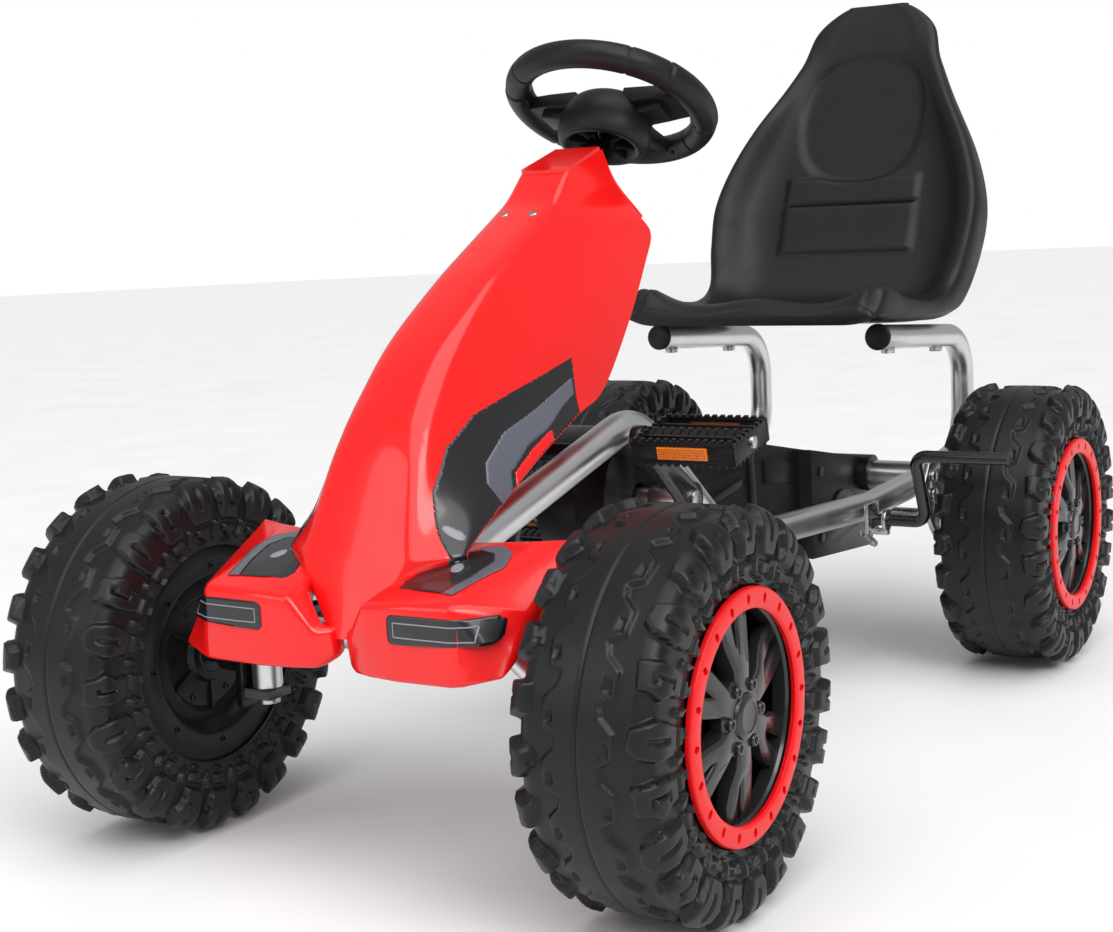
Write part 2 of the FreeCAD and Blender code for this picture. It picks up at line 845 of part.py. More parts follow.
def crank_arm(side_name, side):
    """Arm with a boss at the axle and a smaller one at the pedal."""
    body = new_body(f"crank_arm_{side_name}")
    length = D["crank_length"]
    thickness = D["crank_arm_thickness"]
    add_pad(body, draw_circle(new_sketch(body), Size(15)), thickness)
    add_pad(body, draw_circle(new_sketch(body), Size(11), length, 0), thickness)
    bar_outline = [(0, -12), (length, -8), (length, 8), (0, 12)]
    add_pad(body, draw_polygon(new_sketch(body), bar_outline), thickness)
    add_pocket(body, draw_circle(new_sketch(body), D["axle_radius"]), thickness, True)
    add_pocket(
        body, draw_circle(new_sketch(body), D["spindle_radius"], length, 0), thickness, True
    )
    lift = -num("crank_angle") if side > 0 else 180 - num("crank_angle")
    turn = Rotation(Vector(0, 1, 0), lift).multiply(SIDE_VIEW)
    outer = D["crank_arm_y"] + thickness
    place(body, D["crank_x"], outer if side > 0 else -D["crank_arm_y"], D["crank_z"], turn)


crank_arm("left", 1)
crank_arm("right", -1)

ANGLE = math.radians(num("crank_angle"))
PEDAL_OFFSET = Vector(math.cos(ANGLE), 0, math.sin(ANGLE)) * num("crank_length")
PEDAL_TILT = 12


def pedal_spindle(side):
    start = Vector(0, num("crank_arm_y"), 0)
    end = Vector(0, num("pedal_y") + num("pedal_length") + 3, 0)
    centre = CRANK + PEDAL_OFFSET * side
    radius = num("spindle_radius")
    spindle = bar(start, end, radius)
    flange = bar(Vector(0, 94.2, 0), Vector(0, 97.6, 0), 8)
    shape = spindle.fuse(flange).removeSplitter()
    if side < 0:
        shape = mirror_y(shape)
    shape.translate(centre)
    return shape


shaped("pedal_spindles", Part.Compound([pedal_spindle(1), pedal_spindle(-1)]))


def pedal(side_name, side):
    """Open cage pedal with two tread bars, windows and a bore for its spindle."""
    body = new_body(f"pedal_{side_name}")
    half_x = D["pedal_width"] * 0.5
    half_y = D["pedal_length"] * 0.5
    outline = [
        (-half_x, -half_y),
        (half_x, -half_y),
        (half_x, half_y - 10),
        (half_x - 10, half_y),
        (-(half_x - 10), half_y),
        (-half_x, half_y - 10),
    ]
    height = D["pedal_height"]
    add_pad(body, draw_polygon(new_sketch(body), outline), height)
    for sign in (1, -1):
        near = half_x * (0.25 * sign)
        far = half_x * (0.78 * sign)
        window = [(near, -half_y + 12), (far, -half_y + 12), (far, half_y - 14), (near, half_y - 14)]
        add_pocket(body, draw_polygon(new_sketch(body), window), height, True)
    bore = new_sketch(body, "XZ_Plane")
    draw_circle(bore, D["spindle_radius"] + D["running_gap"], 0, height * 0.5)
    hole = add_pocket(body, bore, D["pedal_length"] * 1.2)
    hole.Midplane = True
    tilt = Rotation(Vector(0, 1, 0), PEDAL_TILT)
    if side < 0:
        tilt = tilt.multiply(Rotation(Vector(1, 0, 0), 180))
    middle = Vector(0, side * (num("pedal_y") + num("pedal_length") / 2), 0)
    rise = tilt.multVec(Vector(0, 0, num("pedal_height") / 2))
    body.Placement = Placement(CRANK + PEDAL_OFFSET * side + middle - rise, tilt)
    return body


def reflectors(side_name, side):
    """Amber reflectors on the front and rear faces of one pedal."""
    tilt = Rotation(Vector(0, 1, 0), PEDAL_TILT)
    centre = CRANK + PEDAL_OFFSET * side
    centre.y = side * (num("pedal_y") + num("pedal_length") / 2)
    blocks = []
    half_x = num("pedal_width") / 2
    for start in (half_x, -half_x - 3):
        block = Part.makeBox(3, 44, 10, Vector(start, -22, -5))
        block.Placement = Placement(centre, tilt)
        blocks.append(block)
    shaped(f"pedal_reflectors_{side_name}", Part.Compound(blocks))


for side, side_name in ((1, "left"), (-1, "right")):
    pedal(side_name, side)
    reflectors(side_name, side)

AXLE_END = D["rear_track_half"] - 18
keep(
    cylinder(
        D["axle_radius"],
        AXLE_END * 2,
        (D["rear_axle_x"], -AXLE_END, D["wheel_radius"]),
        LEFT_OUT,
    ),
    "rear_axle",
)
keep(bush_pair(Size(16), Size(4), D["rear_track_half"] - W + 8), "rear_axle_collars")

# ---- Steering -----------------------------------------------------------------------------
# Steering pieces are drawn about the column: local Z up the column, local X forwards.

COLUMN_TURN = Rotation(Vector(0, 1, 0), -num("column_tilt"))
COLUMN_TOP = (D["column_x"], 0, D["column_z"])
COLUMN = Placement(Vector(num("column_x"), 0, num("column_z")), COLUMN_TURN)

steering_rim = doc.addObject("Part::Torus", "Torus")
bind(steering_rim, "Radius1", D["rim_radius"])
bind(steering_rim, "Radius2", D["rim_section"])
keep(place(steering_rim, *COLUMN_TOP, COLUMN_TURN), "steering_rim")


def steering_hub():
    """Deep hub pod under the wheel with two side spokes and one towards the rider."""
    pod = Part.makeCone(30, 36, 34, Vector(0, 0, -38))
    cover = Part.makeCone(36, 24, 10, Vector(0, 0, -4))
    shape = pod.fuse(cover)
    reach = num("rim_radius") - num("rim_section")
    for angle in (90, -90, 180):
        spoke = Part.makeBox(reach, 30, 14, Vector(0, -15, -12))
        spoke.rotate(Vector(0, 0, 0), Vector(0, 0, 1), angle)
        shape = shape.fuse(spoke)
    rim_ring = Part.makeTorus(num("rim_radius"), num("rim_section"))
    socket = Part.makeCylinder(num("column_radius"), 40, Vector(0, 0, -50))
    return shape.cut(rim_ring).cut(socket).removeSplitter()


shaped("steering_hub", steering_hub(), COLUMN)
keep(
    place(
        cylinder(D["column_radius"], D["column_length"] - 10),
        D["column_x"] + num("column_length") * math.sin(math.radians(num("column_tilt"))),
        0,
        D["column_z"] - num("column_length") * math.cos(math.radians(num("column_tilt"))),
        COLUMN_TURN,
    ),
    "steering_shaft",
)

PITMAN = num("pitman_length")
STUD_Y = 10
STUD_R = 4
PLATE_LOW = -num("column_length") + 4


def pitman_arm():
    """Clamp plate on the foot of the column with a stud for each tie rod."""
    collar = Part.makeCylinder(13, 14, Vector(0, 0, PLATE_LOW))
    tongue = Part.makeBox(PITMAN + 10, 2 * STUD_Y + 18, 5, Vector(-PITMAN - 10, -STUD_Y - 9, PLATE_LOW))
    shape = collar.fuse(tongue)
    for y in (STUD_Y, -STUD_Y):
        shape = shape.fuse(Part.makeCylinder(STUD_R, 22, Vector(-PITMAN, y, PLATE_LOW)))
        shape = shape.fuse(Part.makeCylinder(7, 3, Vector(-PITMAN, y, PLATE_LOW + 19)))
    return shape.cut(Part.makeCylinder(num("column_radius"), 14, Vector(0, 0, PLATE_LOW)))


shaped("pitman_arm", pitman_arm().removeSplitter(), COLUMN)


def column_point(height):
    """A point on the column's axis at a local height below the steering wheel."""
    return COLUMN.multVec(Vector(0, 0, height))


def column_sleeve(height, length, outer):
    shape = Part.makeCylinder(outer, length, Vector(0, 0, height))
    shape.Placement = COLUMN
    return shape


def column_bore(height, length):
    return column_sleeve(height, length, num("column_radius") + num("running_gap"))


def lower_bush():
    """Bottom column bearing on a strut from the front beam."""
    strut = bar(column_point(-428), Vector(FRONT_AXLE_X, 0, BEAM_Z), 8)
    shape = column_sleeve(-440, 24, 13).fuse(strut).cut(beam_shape).cut(column_bore(-480, 90))
    return max(shape.Solids, key=lambda solid: solid.Volume)


def middle_bush():
    """Column bearing between the two main tubes."""
    centre = column_point(-328)
    cross_bar = bar(centre + Vector(0, -58, 0), centre + Vector(0, 58, 0), 8)
    shape = column_sleeve(-344, 32, 13).fuse(cross_bar)
    shape = shape.cut(main_solid).cut(mirror_y(main_solid)).cut(column_bore(-350, 50))
    return max(shape.Solids, key=lambda solid: solid.Volume)


# ---- Knuckles and tie rods ----------------------------------------------------------------

KINGPIN_Y = num("kingpin_y")
KNUCKLE_ARM = 70
STUD_OUT_Y = KINGPIN_Y + 6


def stub_axle():
    """Stub axle welded to the knuckle's web, with a shoulder and an end nut."""
    start = Vector(FRONT_AXLE_X, KINGPIN_Y + 18, AXLE_Z)
    end = Vector(FRONT_AXLE_X, num("front_track_half") - 12, AXLE_Z)
    axle = bar(start, end, num("axle_radius"))
    shoulder = bar(start, start + Vector(0, 24, 0), 13)
    nut = bar(end - Vector(0, 7.5, 0), end - Vector(0, 2, 0), 11)
    return axle.fuse(shoulder).fuse(nut)


def knuckle(side):
    """Fork round the kingpin sleeve, with a stub axle and an arm that points rearwards."""
    web = Part.makeBox(30, 6, 76, Vector(FRONT_AXLE_X - 15, KINGPIN_Y + 14, AXLE_Z - 38))
    shape = web
    for z in (AXLE_Z - 30.5, AXLE_Z + 22.5):
        shape = shape.fuse(Part.makeBox(26, 28, 8, Vector(FRONT_AXLE_X - 13, KINGPIN_Y - 12, z)))
    arm_start = Vector(FRONT_AXLE_X - KNUCKLE_ARM - 8, STUD_OUT_Y - 8, AXLE_Z + 24.5)
    arm = Part.makeBox(KNUCKLE_ARM + 6, 16, 6, arm_start)
    stud_foot = Vector(FRONT_AXLE_X - KNUCKLE_ARM, STUD_OUT_Y, AXLE_Z + 30.5)
    stud = Part.makeCylinder(STUD_R, 18, stud_foot)
    head = Part.makeCylinder(9, 3, stud_foot + Vector(0, 0, 18))
    pin_bore = Part.makeCylinder(
        num("kingpin_radius") + num("running_gap"),
        70,
        Vector(FRONT_AXLE_X, KINGPIN_Y, AXLE_Z - 34),
    )
    shape = shape.fuse(arm).fuse(stud).fuse(head).fuse(stub_axle()).cut(pin_bore)
    shape = shape.removeSplitter()
    return shape if side > 0 else mirror_y(shape)


def kingpin(side):
    """Pin pressed into the beam's sleeve, with a head above and a nut below the fork."""
    foot = Vector(FRONT_AXLE_X, side * KINGPIN_Y, AXLE_Z - 36)
    pin = Part.makeCylinder(num("kingpin_radius"), 72, foot)
    head = Part.makeCylinder(9, 4, foot + Vector(0, 0, 67.5))
    nut = Part.makeCylinder(9, 4, foot + Vector(0, 0, 0.5))
    return pin.fuse(head).fuse(nut).removeSplitter()


def tie_rod(side):
    """Rod between an eye on the pitman stud and a wide eye round the knuckle stud."""
    inner = COLUMN.multVec(Vector(-PITMAN, side * STUD_Y, PLATE_LOW + 13))
    outer = Vector(FRONT_AXLE_X - KNUCKLE_ARM, side * STUD_OUT_Y, AXLE_Z + 38)
    eye = Part.makeCylinder(9, 8, Vector(-PITMAN, side * STUD_Y, PLATE_LOW + 9))
    eye_bore = Part.makeCylinder(
        STUD_R + num("running_gap"), 30, Vector(-PITMAN, side * STUD_Y, PLATE_LOW)
    )
    eye.Placement = COLUMN
    eye_bore.Placement = COLUMN
    far_eye = Part.makeCylinder(11, 7, outer + Vector(0, 0, -3.5))
    far_bore = Part.makeCylinder(6.5, 30, outer + Vector(0, 0, -15))
    shape = bar(inner, outer, 5).fuse(eye).fuse(far_eye).cut(eye_bore).cut(far_bore)
    return max(shape.Solids, key=lambda solid: solid.Volume)


for side, side_name in ((1, "left"), (-1, "right")):
    shaped(f"knuckle_{side_name}", knuckle(side))
    shaped(f"tie_rod_{side_name}", tie_rod(side))
shaped("kingpins", Part.Compound([kingpin(1), kingpin(-1)]))

# ---- Bodywork -----------------------------------------------------------------------------
# Each cowl section gives the front crease (x, z, half width) and the rear edge (x, z, half width).

COWL_SECTIONS = (
    ((497, 190, 12), (484, 190, 14)),
    ((488, 214, 30), (468, 214, 36)),
    ((480, 239, 46), (452, 240, 76)),
    ((474, 255, 45), (440, 255, 80)),
    ((455, 301, 41), (352, 300, 79)),
    ((443, 326, 38), (284, 328, 77)),
    ((427, 350, 35), (240, 344, 75)),
    ((387, 393, 31), (184, 394, 69)),
    ((330, 434, 27), (140, 440, 62)),
    ((287, 459, 26), (119, 464, 57)),
    ((240, 484, 26), (127, 480, 51)),
    ((219, 497, 25), (138, 508, 34)),
    ((196, 519, 24), (140, 537, 22)),
)


def offset_inwards(points, wall):
    """An open line moved towards the kart's middle by the wall, with mitred corners."""
    moved = []
    for index, point in enumerate(points):
        normals = []
        if index > 0:
            normals.append(point - points[index - 1])
        if index < len(points) - 1:
            normals.append(points[index + 1] - point)
        sides = [Vector(-run.y, run.x, 0).normalize() for run in normals]
        middle = sides[0] + sides[-1]
        middle.normalize()
        moved.append(point + middle * (wall / middle.dot(sides[0])))
    return moved


def cowl_section(front, rear):
    """A C-shaped section of the cowl's wall, open towards the rider."""
    front_x, front_z, half_width = front
    rear_x, rear_z, rear_half = rear
    side_x = (front_x + rear_x) / 2
    side_y = half_width + (rear_half - half_width) * 0.68
    half = [Vector(rear_x, rear_half, 0), Vector(side_x, side_y, 0), Vector(front_x, half_width, 0)]
    outer = half + [Vector(point.x, -point.y, 0) for point in reversed(half)]
    inner = offset_inwards(outer, -num("cowl_wall"))
    slope = (rear_z - front_z) / (rear_x - front_x)
    ring = outer + inner[::-1]
    return [Vector(p.x, p.y, front_z + (p.x - front_x) * slope) for p in ring]


cowl_shape = lofted([cowl_section(*section) for section in COWL_SECTIONS])
shaped("front_cowl", cowl_shape)

# Each cheek section gives y and then (x, z) of its front foot, front top, rear top, rear foot.
CHEEK_SECTIONS = (
    (17, (509, 168), (512, 189), (502, 191), (500, 169)),
    (33, (514, 168), (517, 222), (494, 226), (494, 170)),
    (60, (518, 168), (519, 224), (428, 252), (432, 176)),
    (112, (520, 169), (517, 226), (414, 254), (432, 180)),
    (146, (507, 176), (474, 214), (410, 255), (438, 212)),
)
HOLLOW_SECTIONS = (
    (38, (510, 150), (513, 217), (470, 221), (470, 150)),
    (60, (514, 150), (515, 219), (400, 248), (400, 150)),
    (112, (516, 150), (513, 221), (390, 250), (390, 150)),
    (141, (503, 150), (474, 207), (390, 250), (390, 150)),
)


def cheek_loft(sections):
    return lofted([[Vector(x, y, z) for x, z in corners] for y, *corners in sections])


cheek = cheek_loft(CHEEK_SECTIONS).cut(cheek_loft(HOLLOW_SECTIONS))
cheek = cheek.cut(cowl_shape).cut(main_solid).cut(beam_shape)
cheek = max(cheek.Solids, key=lambda solid: solid.Volume)
shaped("nose_cheek_left", cheek)
shaped("nose_cheek_right", mirror_y(cheek))


def top_bush():
    """Bearing that holds the column behind the head of the cowl, on a bar between its sides."""
    centre = column_point(-78)
    cross_bar = Part.makeBox(30, 60, 4, centre + Vector(6, -30, -2))
    shape = column_sleeve(-86, 16, 12).fuse(cross_bar).cut(cowl_shape).cut(column_bore(-90, 30))
    return max(shape.Solids, key=lambda solid: solid.Volume)


shaped("column_bushes", Part.Compound([lower_bush(), middle_bush(), top_bush()]))

# ---- Brake --------------------------------------------------------------------------------

BRAKE_X = num("brake_pivot_x")
BRAKE_Z = num("brake_pivot_z")
ROD_R = num("brake_rod_radius")
BRAKE_ROUTE = [
    Vector(BRAKE_X, 122, BRAKE_Z),
    Vector(BRAKE_X, 178, BRAKE_Z),
    Vector(-179, 178, 234),
    Vector(-179, 272, 234),
]
brake_rod = swept_rod(BRAKE_ROUTE, 13, ROD_R)
shaped("brake_lever", brake_rod)


def brake_bracket():
    """Two ears with running bores on a foot bolted to the left main tube's outer side."""
    foot = Part.makeBox(30, 4, 30, Vector(BRAKE_X - 15, 118, BRAKE_Z - 13))
    shape = foot
    for y in (118, 134):
        ear = bar(Vector(BRAKE_X, y, BRAKE_Z), Vector(BRAKE_X, y + 4, BRAKE_Z), 11)
        shape = shape.fuse(ear)
    spine = Part.makeBox(8, 20, 6, Vector(BRAKE_X - 4, 118, BRAKE_Z - 15))
    bore = bar(
        Vector(BRAKE_X, 117, BRAKE_Z), Vector(BRAKE_X, 139, BRAKE_Z), ROD_R + num("running_gap")
    )
    return shape.fuse(spine).cut(bore).cut(main_solid).removeSplitter()


shaped("brake_bracket", brake_bracket())

# ---- Check and write ----------------------------------------------------------------------

doc.recompute()
for item in doc.Objects:
    bad = [state for state in item.State if state in ("Invalid", "Error")]
    if bad:
        raise RuntimeError(f"{item.Label} ({item.Name}) failed: {bad}")
labels = [item.Label for item in PARTS]
if len(set(labels)) != len(labels) or len(labels) > 60:
    raise RuntimeError("every sub-part needs a name of its own, and there are at most 60")
whole = FreeCAD.BoundBox()
for item in PARTS:
    shape = item.Shape
    if shape.isNull() or not shape.isValid() or not shape.Solids:
        raise RuntimeError(f"{item.Label} has no valid solid")
    whole.add(shape.BoundBox)
    shape.exportStep(f"parts/{item.Label}.step")
    print(f"{item.Label:26s} solids {len(shape.Solids)}  volume {shape.Volume / 1000:9.2f} cm3")
print(len(PARTS), "sub-parts, overall box", whole)
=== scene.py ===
import json
import math

import bmesh
import bpy
import numpy as np
from mathutils import Matrix, Vector
from mathutils.bvhtree import BVHTree

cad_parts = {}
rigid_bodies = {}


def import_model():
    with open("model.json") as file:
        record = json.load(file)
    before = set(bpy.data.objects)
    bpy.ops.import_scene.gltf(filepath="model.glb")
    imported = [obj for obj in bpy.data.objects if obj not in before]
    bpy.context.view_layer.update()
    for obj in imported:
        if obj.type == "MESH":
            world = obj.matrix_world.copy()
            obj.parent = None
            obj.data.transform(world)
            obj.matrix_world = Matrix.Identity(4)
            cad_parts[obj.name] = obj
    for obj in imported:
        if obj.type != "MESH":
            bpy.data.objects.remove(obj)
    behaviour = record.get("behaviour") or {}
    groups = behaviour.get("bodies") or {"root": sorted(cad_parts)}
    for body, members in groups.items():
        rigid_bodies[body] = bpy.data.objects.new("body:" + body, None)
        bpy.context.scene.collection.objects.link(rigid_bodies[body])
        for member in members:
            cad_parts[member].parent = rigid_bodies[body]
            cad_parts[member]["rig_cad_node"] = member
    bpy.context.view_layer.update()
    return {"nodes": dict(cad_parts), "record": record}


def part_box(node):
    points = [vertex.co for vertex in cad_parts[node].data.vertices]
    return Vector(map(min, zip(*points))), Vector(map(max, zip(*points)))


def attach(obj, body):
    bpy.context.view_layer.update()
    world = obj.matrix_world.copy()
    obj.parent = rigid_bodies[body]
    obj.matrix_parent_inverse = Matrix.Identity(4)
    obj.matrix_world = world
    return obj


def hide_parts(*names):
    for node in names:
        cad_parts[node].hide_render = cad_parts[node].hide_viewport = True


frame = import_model()
RECORD = frame["record"]
NODE_BODY = {n: body for body, names in RECORD["behaviour"]["bodies"].items() for n in names}
NODE_SLOT = {part["node"]: part["material_slot"] for part in RECORD["subparts"]}
MM = 0.001
GRAIN_DEPTH = 0.4 * MM
SCENE = bpy.context.scene.collection

for item in list(bpy.data.objects):
    if item.type in ("LIGHT", "CAMERA") or (item.type == "MESH" and "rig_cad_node" not in item):
        bpy.data.objects.remove(item)

# ---- Materials ----------------------------------------------------------------------------


def blank_material(name):
    made = bpy.data.materials.new(name)
    made.use_nodes = True
    return made, made.node_tree.nodes, made.node_tree.links, made.node_tree.nodes["Principled BSDF"]


def set_inputs(node, values):
    for socket, value in values.items():
        node.inputs[socket].default_value = value


def noise(nodes, links, scale, detail=2):
    """Noise in the object's own coordinates; scale is in waves to the metre."""
    place = nodes.new("ShaderNodeTexCoord")
    made = nodes.new("ShaderNodeTexNoise")
    set_inputs(made, {"Scale": scale, "Detail": detail})
    links.new(place.outputs["Object"], made.inputs["Vector"])
    return made.outputs["Fac"]


def ranged(nodes, links, source, low, high):
    made = nodes.new("ShaderNodeMapRange")
    set_inputs(made, {"From Min": 0.3, "From Max": 0.7, "To Min": low, "To Max": high})
    links.new(source, made.inputs["Value"])
    return made.outputs["Result"]


def two_tone(nodes, links, source, dark, light):
    made = nodes.new("ShaderNodeMix")
    made.data_type = "RGBA"
    set_inputs(made, {6: (*dark, 1), 7: (*light, 1)})
    links.new(source, made.inputs[0])
    return made.outputs[2]


def finish_material(
    name, colour, rough, grain, bump, metallic=0.0, coat=0.0, spread=0.12, patch=14, specular=0.5,
):
    """A surface with slow patches in colour and gloss, and fine grain in the bump."""
    made, nodes, links, shader = blank_material(name)
    set_inputs(shader, {
        "Metallic": metallic, "Coat Weight": coat, "Specular IOR Level": specular,
        "Coat Roughness": 0.06,
    })
    slow = noise(nodes, links, patch, 3)
    dark = [channel * (1 - spread) for channel in colour]
    light = [min(1, channel * (1 + spread)) for channel in colour]
    links.new(two_tone(nodes, links, slow, dark, light), shader.inputs["Base Color"])
    gloss = noise(nodes, links, patch * 3, 3)
    links.new(
        ranged(nodes, links, gloss, rough * 0.85, rough * 1.15), shader.inputs["Roughness"]
    )
    relief = nodes.new("ShaderNodeBump")
    set_inputs(relief, {"Strength": bump, "Distance": GRAIN_DEPTH})
    links.new(noise(nodes, links, grain), relief.inputs["Height"])
    links.new(relief.outputs["Normal"], shader.inputs["Normal"])
    return made


def lightened_raised_edges(made, amount, colour):
    """Lightens raised edges a little."""
    nodes, links = made.node_tree.nodes, made.node_tree.links
    shader = nodes["Principled BSDF"]
    base = shader.inputs["Base Color"].links[0].from_socket
    geometry = nodes.new("ShaderNodeNewGeometry")
    ramp = nodes.new("ShaderNodeMapRange")
    set_inputs(ramp, {"From Min": 0.52, "From Max": 0.62, "To Max": amount})
    links.new(geometry.outputs["Pointiness"], ramp.inputs["Value"])
    mix = nodes.new("ShaderNodeMix")
    mix.data_type = "RGBA"
    mix.inputs[7].default_value = (*colour, 1)
    links.new(ramp.outputs["Result"], mix.inputs[0])
    links.new(base, mix.inputs[6])
    links.new(mix.outputs[2], shader.inputs["Base Color"])
    return made


MATERIALS = {
    "tyre_plastic": lightened_raised_edges(
        finish_material("tyre_black", (0.0075, 0.0075, 0.0085), 0.38, 900, 0.12, specular=0.30),
        0.5, (0.045, 0.045, 0.05),
    ),
    "rim_plastic": finish_material(
        "rim_black", (0.006, 0.006, 0.007), 0.34, 1200, 0.10, specular=0.28
    ),
    "spoke_plastic": finish_material(
        "spoke_graphite", (0.030, 0.029, 0.030), 0.22, 1500, 0.05, metallic=0.3, coat=0.3,
        specular=0.35,
    ),
    "red_ring": finish_material(
        "ring_red", (0.80, 0.006, 0.008), 0.34, 700, 0.05, coat=0.1, spread=0.04, specular=0.25
    ),
    "red_shell": finish_material(
        "shell_red", (0.84, 0.007, 0.007), 0.20, 240, 0.03, coat=0.45, spread=0.03, specular=0.3
    ),
    "silver_paint": finish_material(
        "tube_silver", (0.68, 0.68, 0.70), 0.33, 500, 0.04, metallic=1.0, spread=0.07, patch=9
    ),
    "bright_steel": finish_material(
        "zinc_steel", (0.50, 0.50, 0.50), 0.28, 1400, 0.12, metallic=1.0, spread=0.18, patch=60
    ),
    "black_plastic": finish_material(
        "case_black", (0.006, 0.006, 0.007), 0.36, 1300, 0.20, specular=0.3
    ),
    "seat_plastic": finish_material(
        "seat_black", (0.006, 0.006, 0.008), 0.42, 1700, 0.35, specular=0.34
    ),
    "black_paint": finish_material("paint_black", (0.005, 0.005, 0.006), 0.26, 500, 0.05, coat=0.3),
    "grip_rubber": finish_material(
        "grip_black", (0.006, 0.006, 0.007), 0.40, 2200, 0.3, specular=0.3
    ),
    "amber": finish_material(
        "reflector_amber", (0.90, 0.20, 0.01), 0.12, 500, 0.5, coat=0.6, spread=0.3, patch=420
    ),
}
DECAL_BLACK = finish_material("film_black", (0.009, 0.009, 0.011), 0.22, 500, 0.02, coat=0.3)
DECAL_GREY, DECAL_PALE = (
    finish_material(name, colour, rough, 500, 0.02, coat=0.2, spread=0.05)
    for name, colour, rough in (
        ("film_grey", (0.105, 0.11, 0.14), 0.26), ("film_pale", (0.26, 0.26, 0.30), 0.28)
    )
)

# ---- Mesh helpers -------------------------------------------------------------------------


def linked(name, data):
    item = bpy.data.objects.new(name, data)
    SCENE.objects.link(item)
    return item


def add_object(name, mesh, body, material, replaces=(), smooth_angle=40):
    """Puts a finished mesh in the scene and ties it to its body."""
    item = linked(name, mesh)
    mesh.materials.clear()
    mesh.materials.append(material)
    if smooth_angle:
        mesh.shade_smooth()
        mesh.set_sharp_from_angle(angle=math.radians(smooth_angle))
    if replaces:
        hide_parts(*replaces)
    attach(item, body)
    return item


def stand_in(node, mesh, smooth_angle=40):
    """Puts in a mesh that takes the place of a CAD node, on its body and in its slot."""
    slot = NODE_SLOT[node]
    return add_object(
        node + "_look", mesh, NODE_BODY[node], MATERIALS[slot], (node,), smooth_angle
    )


def mesh_from(name, vertices, faces):
    mesh = bpy.data.meshes.new(name)
    mesh.from_pydata([tuple(v) for v in vertices], [], [tuple(f) for f in faces])
    mesh.validate()
    mesh.update()
    return mesh


def bmesh_of(*meshes):
    shape = bmesh.new()
    for mesh in meshes:
        shape.from_mesh(mesh)
    return shape


def outward(mesh):
    """Turns all faces outwards."""
    shape = bmesh_of(mesh)
    bmesh.ops.recalc_face_normals(shape, faces=shape.faces)
    shape.to_mesh(mesh)
    shape.free()
    return mesh


def grid_faces(rows, cols, close_rows, close_cols):
    faces = []
    for row in range(rows if close_rows else rows - 1):
        base, below = row * cols, (row + 1) % rows * cols
        for col in range(cols if close_cols else cols - 1):
            beside = (col + 1) % cols
            faces.append((base + col, base + beside, below + beside, below + col))
    return faces


def ring_grid(name, points, cap_ends=False):
    """A mesh from rows of closed rings; the first and last ring may be capped."""
    rows, cols = points.shape[:2]
    faces = grid_faces(rows, cols, not cap_ends, True)
    if cap_ends:
        faces.append(tuple(range(cols)))
        faces.append(tuple(reversed(range((rows - 1) * cols, rows * cols))))
    return outward(mesh_from(name, points.reshape(-1, 3), faces))


def full_turn(count):
    return np.linspace(0, 2 * math.pi, count, endpoint=False)


def lathe_points(outline, count):
    """Rings about the Y axis from (radius, depth) pairs, in millimetres."""
    turn = full_turn(count)
    rows = [
        np.stack([radius * np.cos(turn), np.full(count, depth), radius * np.sin(turn)], axis=1)
        for radius, depth in outline
    ]
    return np.array(rows) * MM


def add_rings(shape, points, offset=(0, 0, 0), close_rows=False):
    """Adds rows of closed rings to a bmesh, shifted by offset, and returns their vertices."""
    rows, cols = points.shape[:2]
    verts = [shape.verts.new(p) for p in points.reshape(-1, 3) + offset]
    for face in grid_faces(rows, cols, close_rows, True):
        shape.faces.new([verts[i] for i in face])
    return verts


def around_axle(angle, radius=0.0):
    """Places (outwards, sideways, depth) in millimetres at an angle about the Y axis."""
    out = Vector((math.cos(angle), 0, math.sin(angle)))
    side = Vector((-math.sin(angle), 0, math.cos(angle)))
    return lambda u, v, w: (out * (radius + u) + side * v + Vector((0, w, 0))) * MM


def smooth_step(value):
    value = np.clip(value, 0, 1)
    return value * value * (3 - 2 * value)


def polygon_distance(px, py, corners):
    """Signed distance to a polygon, negative inside."""
    nearest = np.full(px.shape, 1e12)
    sign = np.ones(px.shape)
    for (ax, ay), (bx, by) in zip(corners, corners[-1:] + corners[:-1]):
        ex, ey = bx - ax, by - ay
        wx, wy = px - ax, py - ay
        share = np.clip((wx * ex + wy * ey) / (ex * ex + ey * ey), 0, 1)
        nearest = np.minimum(nearest, (wx - ex * share) ** 2 + (wy - ey * share) ** 2)
        above, below, left = py >= ay, py < by, ex * wy > ey * wx
        crossed = (above & below & left) | (~above & ~below & ~left)
        sign = np.where(crossed, -sign, sign)
    return sign * np.sqrt(nearest)


def resample(points, count):
    """An open line redrawn with evenly spaced points."""
    points = np.asarray(points, float)
    reach = np.concatenate([[0], np.cumsum(np.linalg.norm(np.diff(points, axis=0), axis=1))])
    where = np.linspace(0, reach[-1], count)
    return np.stack([np.interp(where, reach, points[:, k]) for k in range(points.shape[1])], axis=1)


def relaxed(points, rounds):
    """Rounds the corners of an open line, keeping its ends."""
    points = points.copy()
    for _ in range(rounds):
        points[1:-1] = points[1:-1] * 0.5 + (points[:-2] + points[2:]) * 0.25
    return points


def catmull(keys, where):
    """Smooth interpolation through rows of keys; where runs from 0 to their number less one."""
    keys = np.asarray(keys, float)
    padded = np.vstack([2 * keys[0] - keys[1], keys, 2 * keys[-1] - keys[-2]])
    index = np.clip(np.floor(where).astype(int), 0, len(keys) - 2)
    t = (where - index)[:, None]
    p0, p1, p2, p3 = (padded[index + k] for k in range(4))
    return 0.5 * (
        2 * p1 + (p2 - p0) * t + (2 * p0 - 5 * p1 + 4 * p2 - p3) * t**2
        + (3 * p1 - p0 - 3 * p2 + p3) * t**3
    )


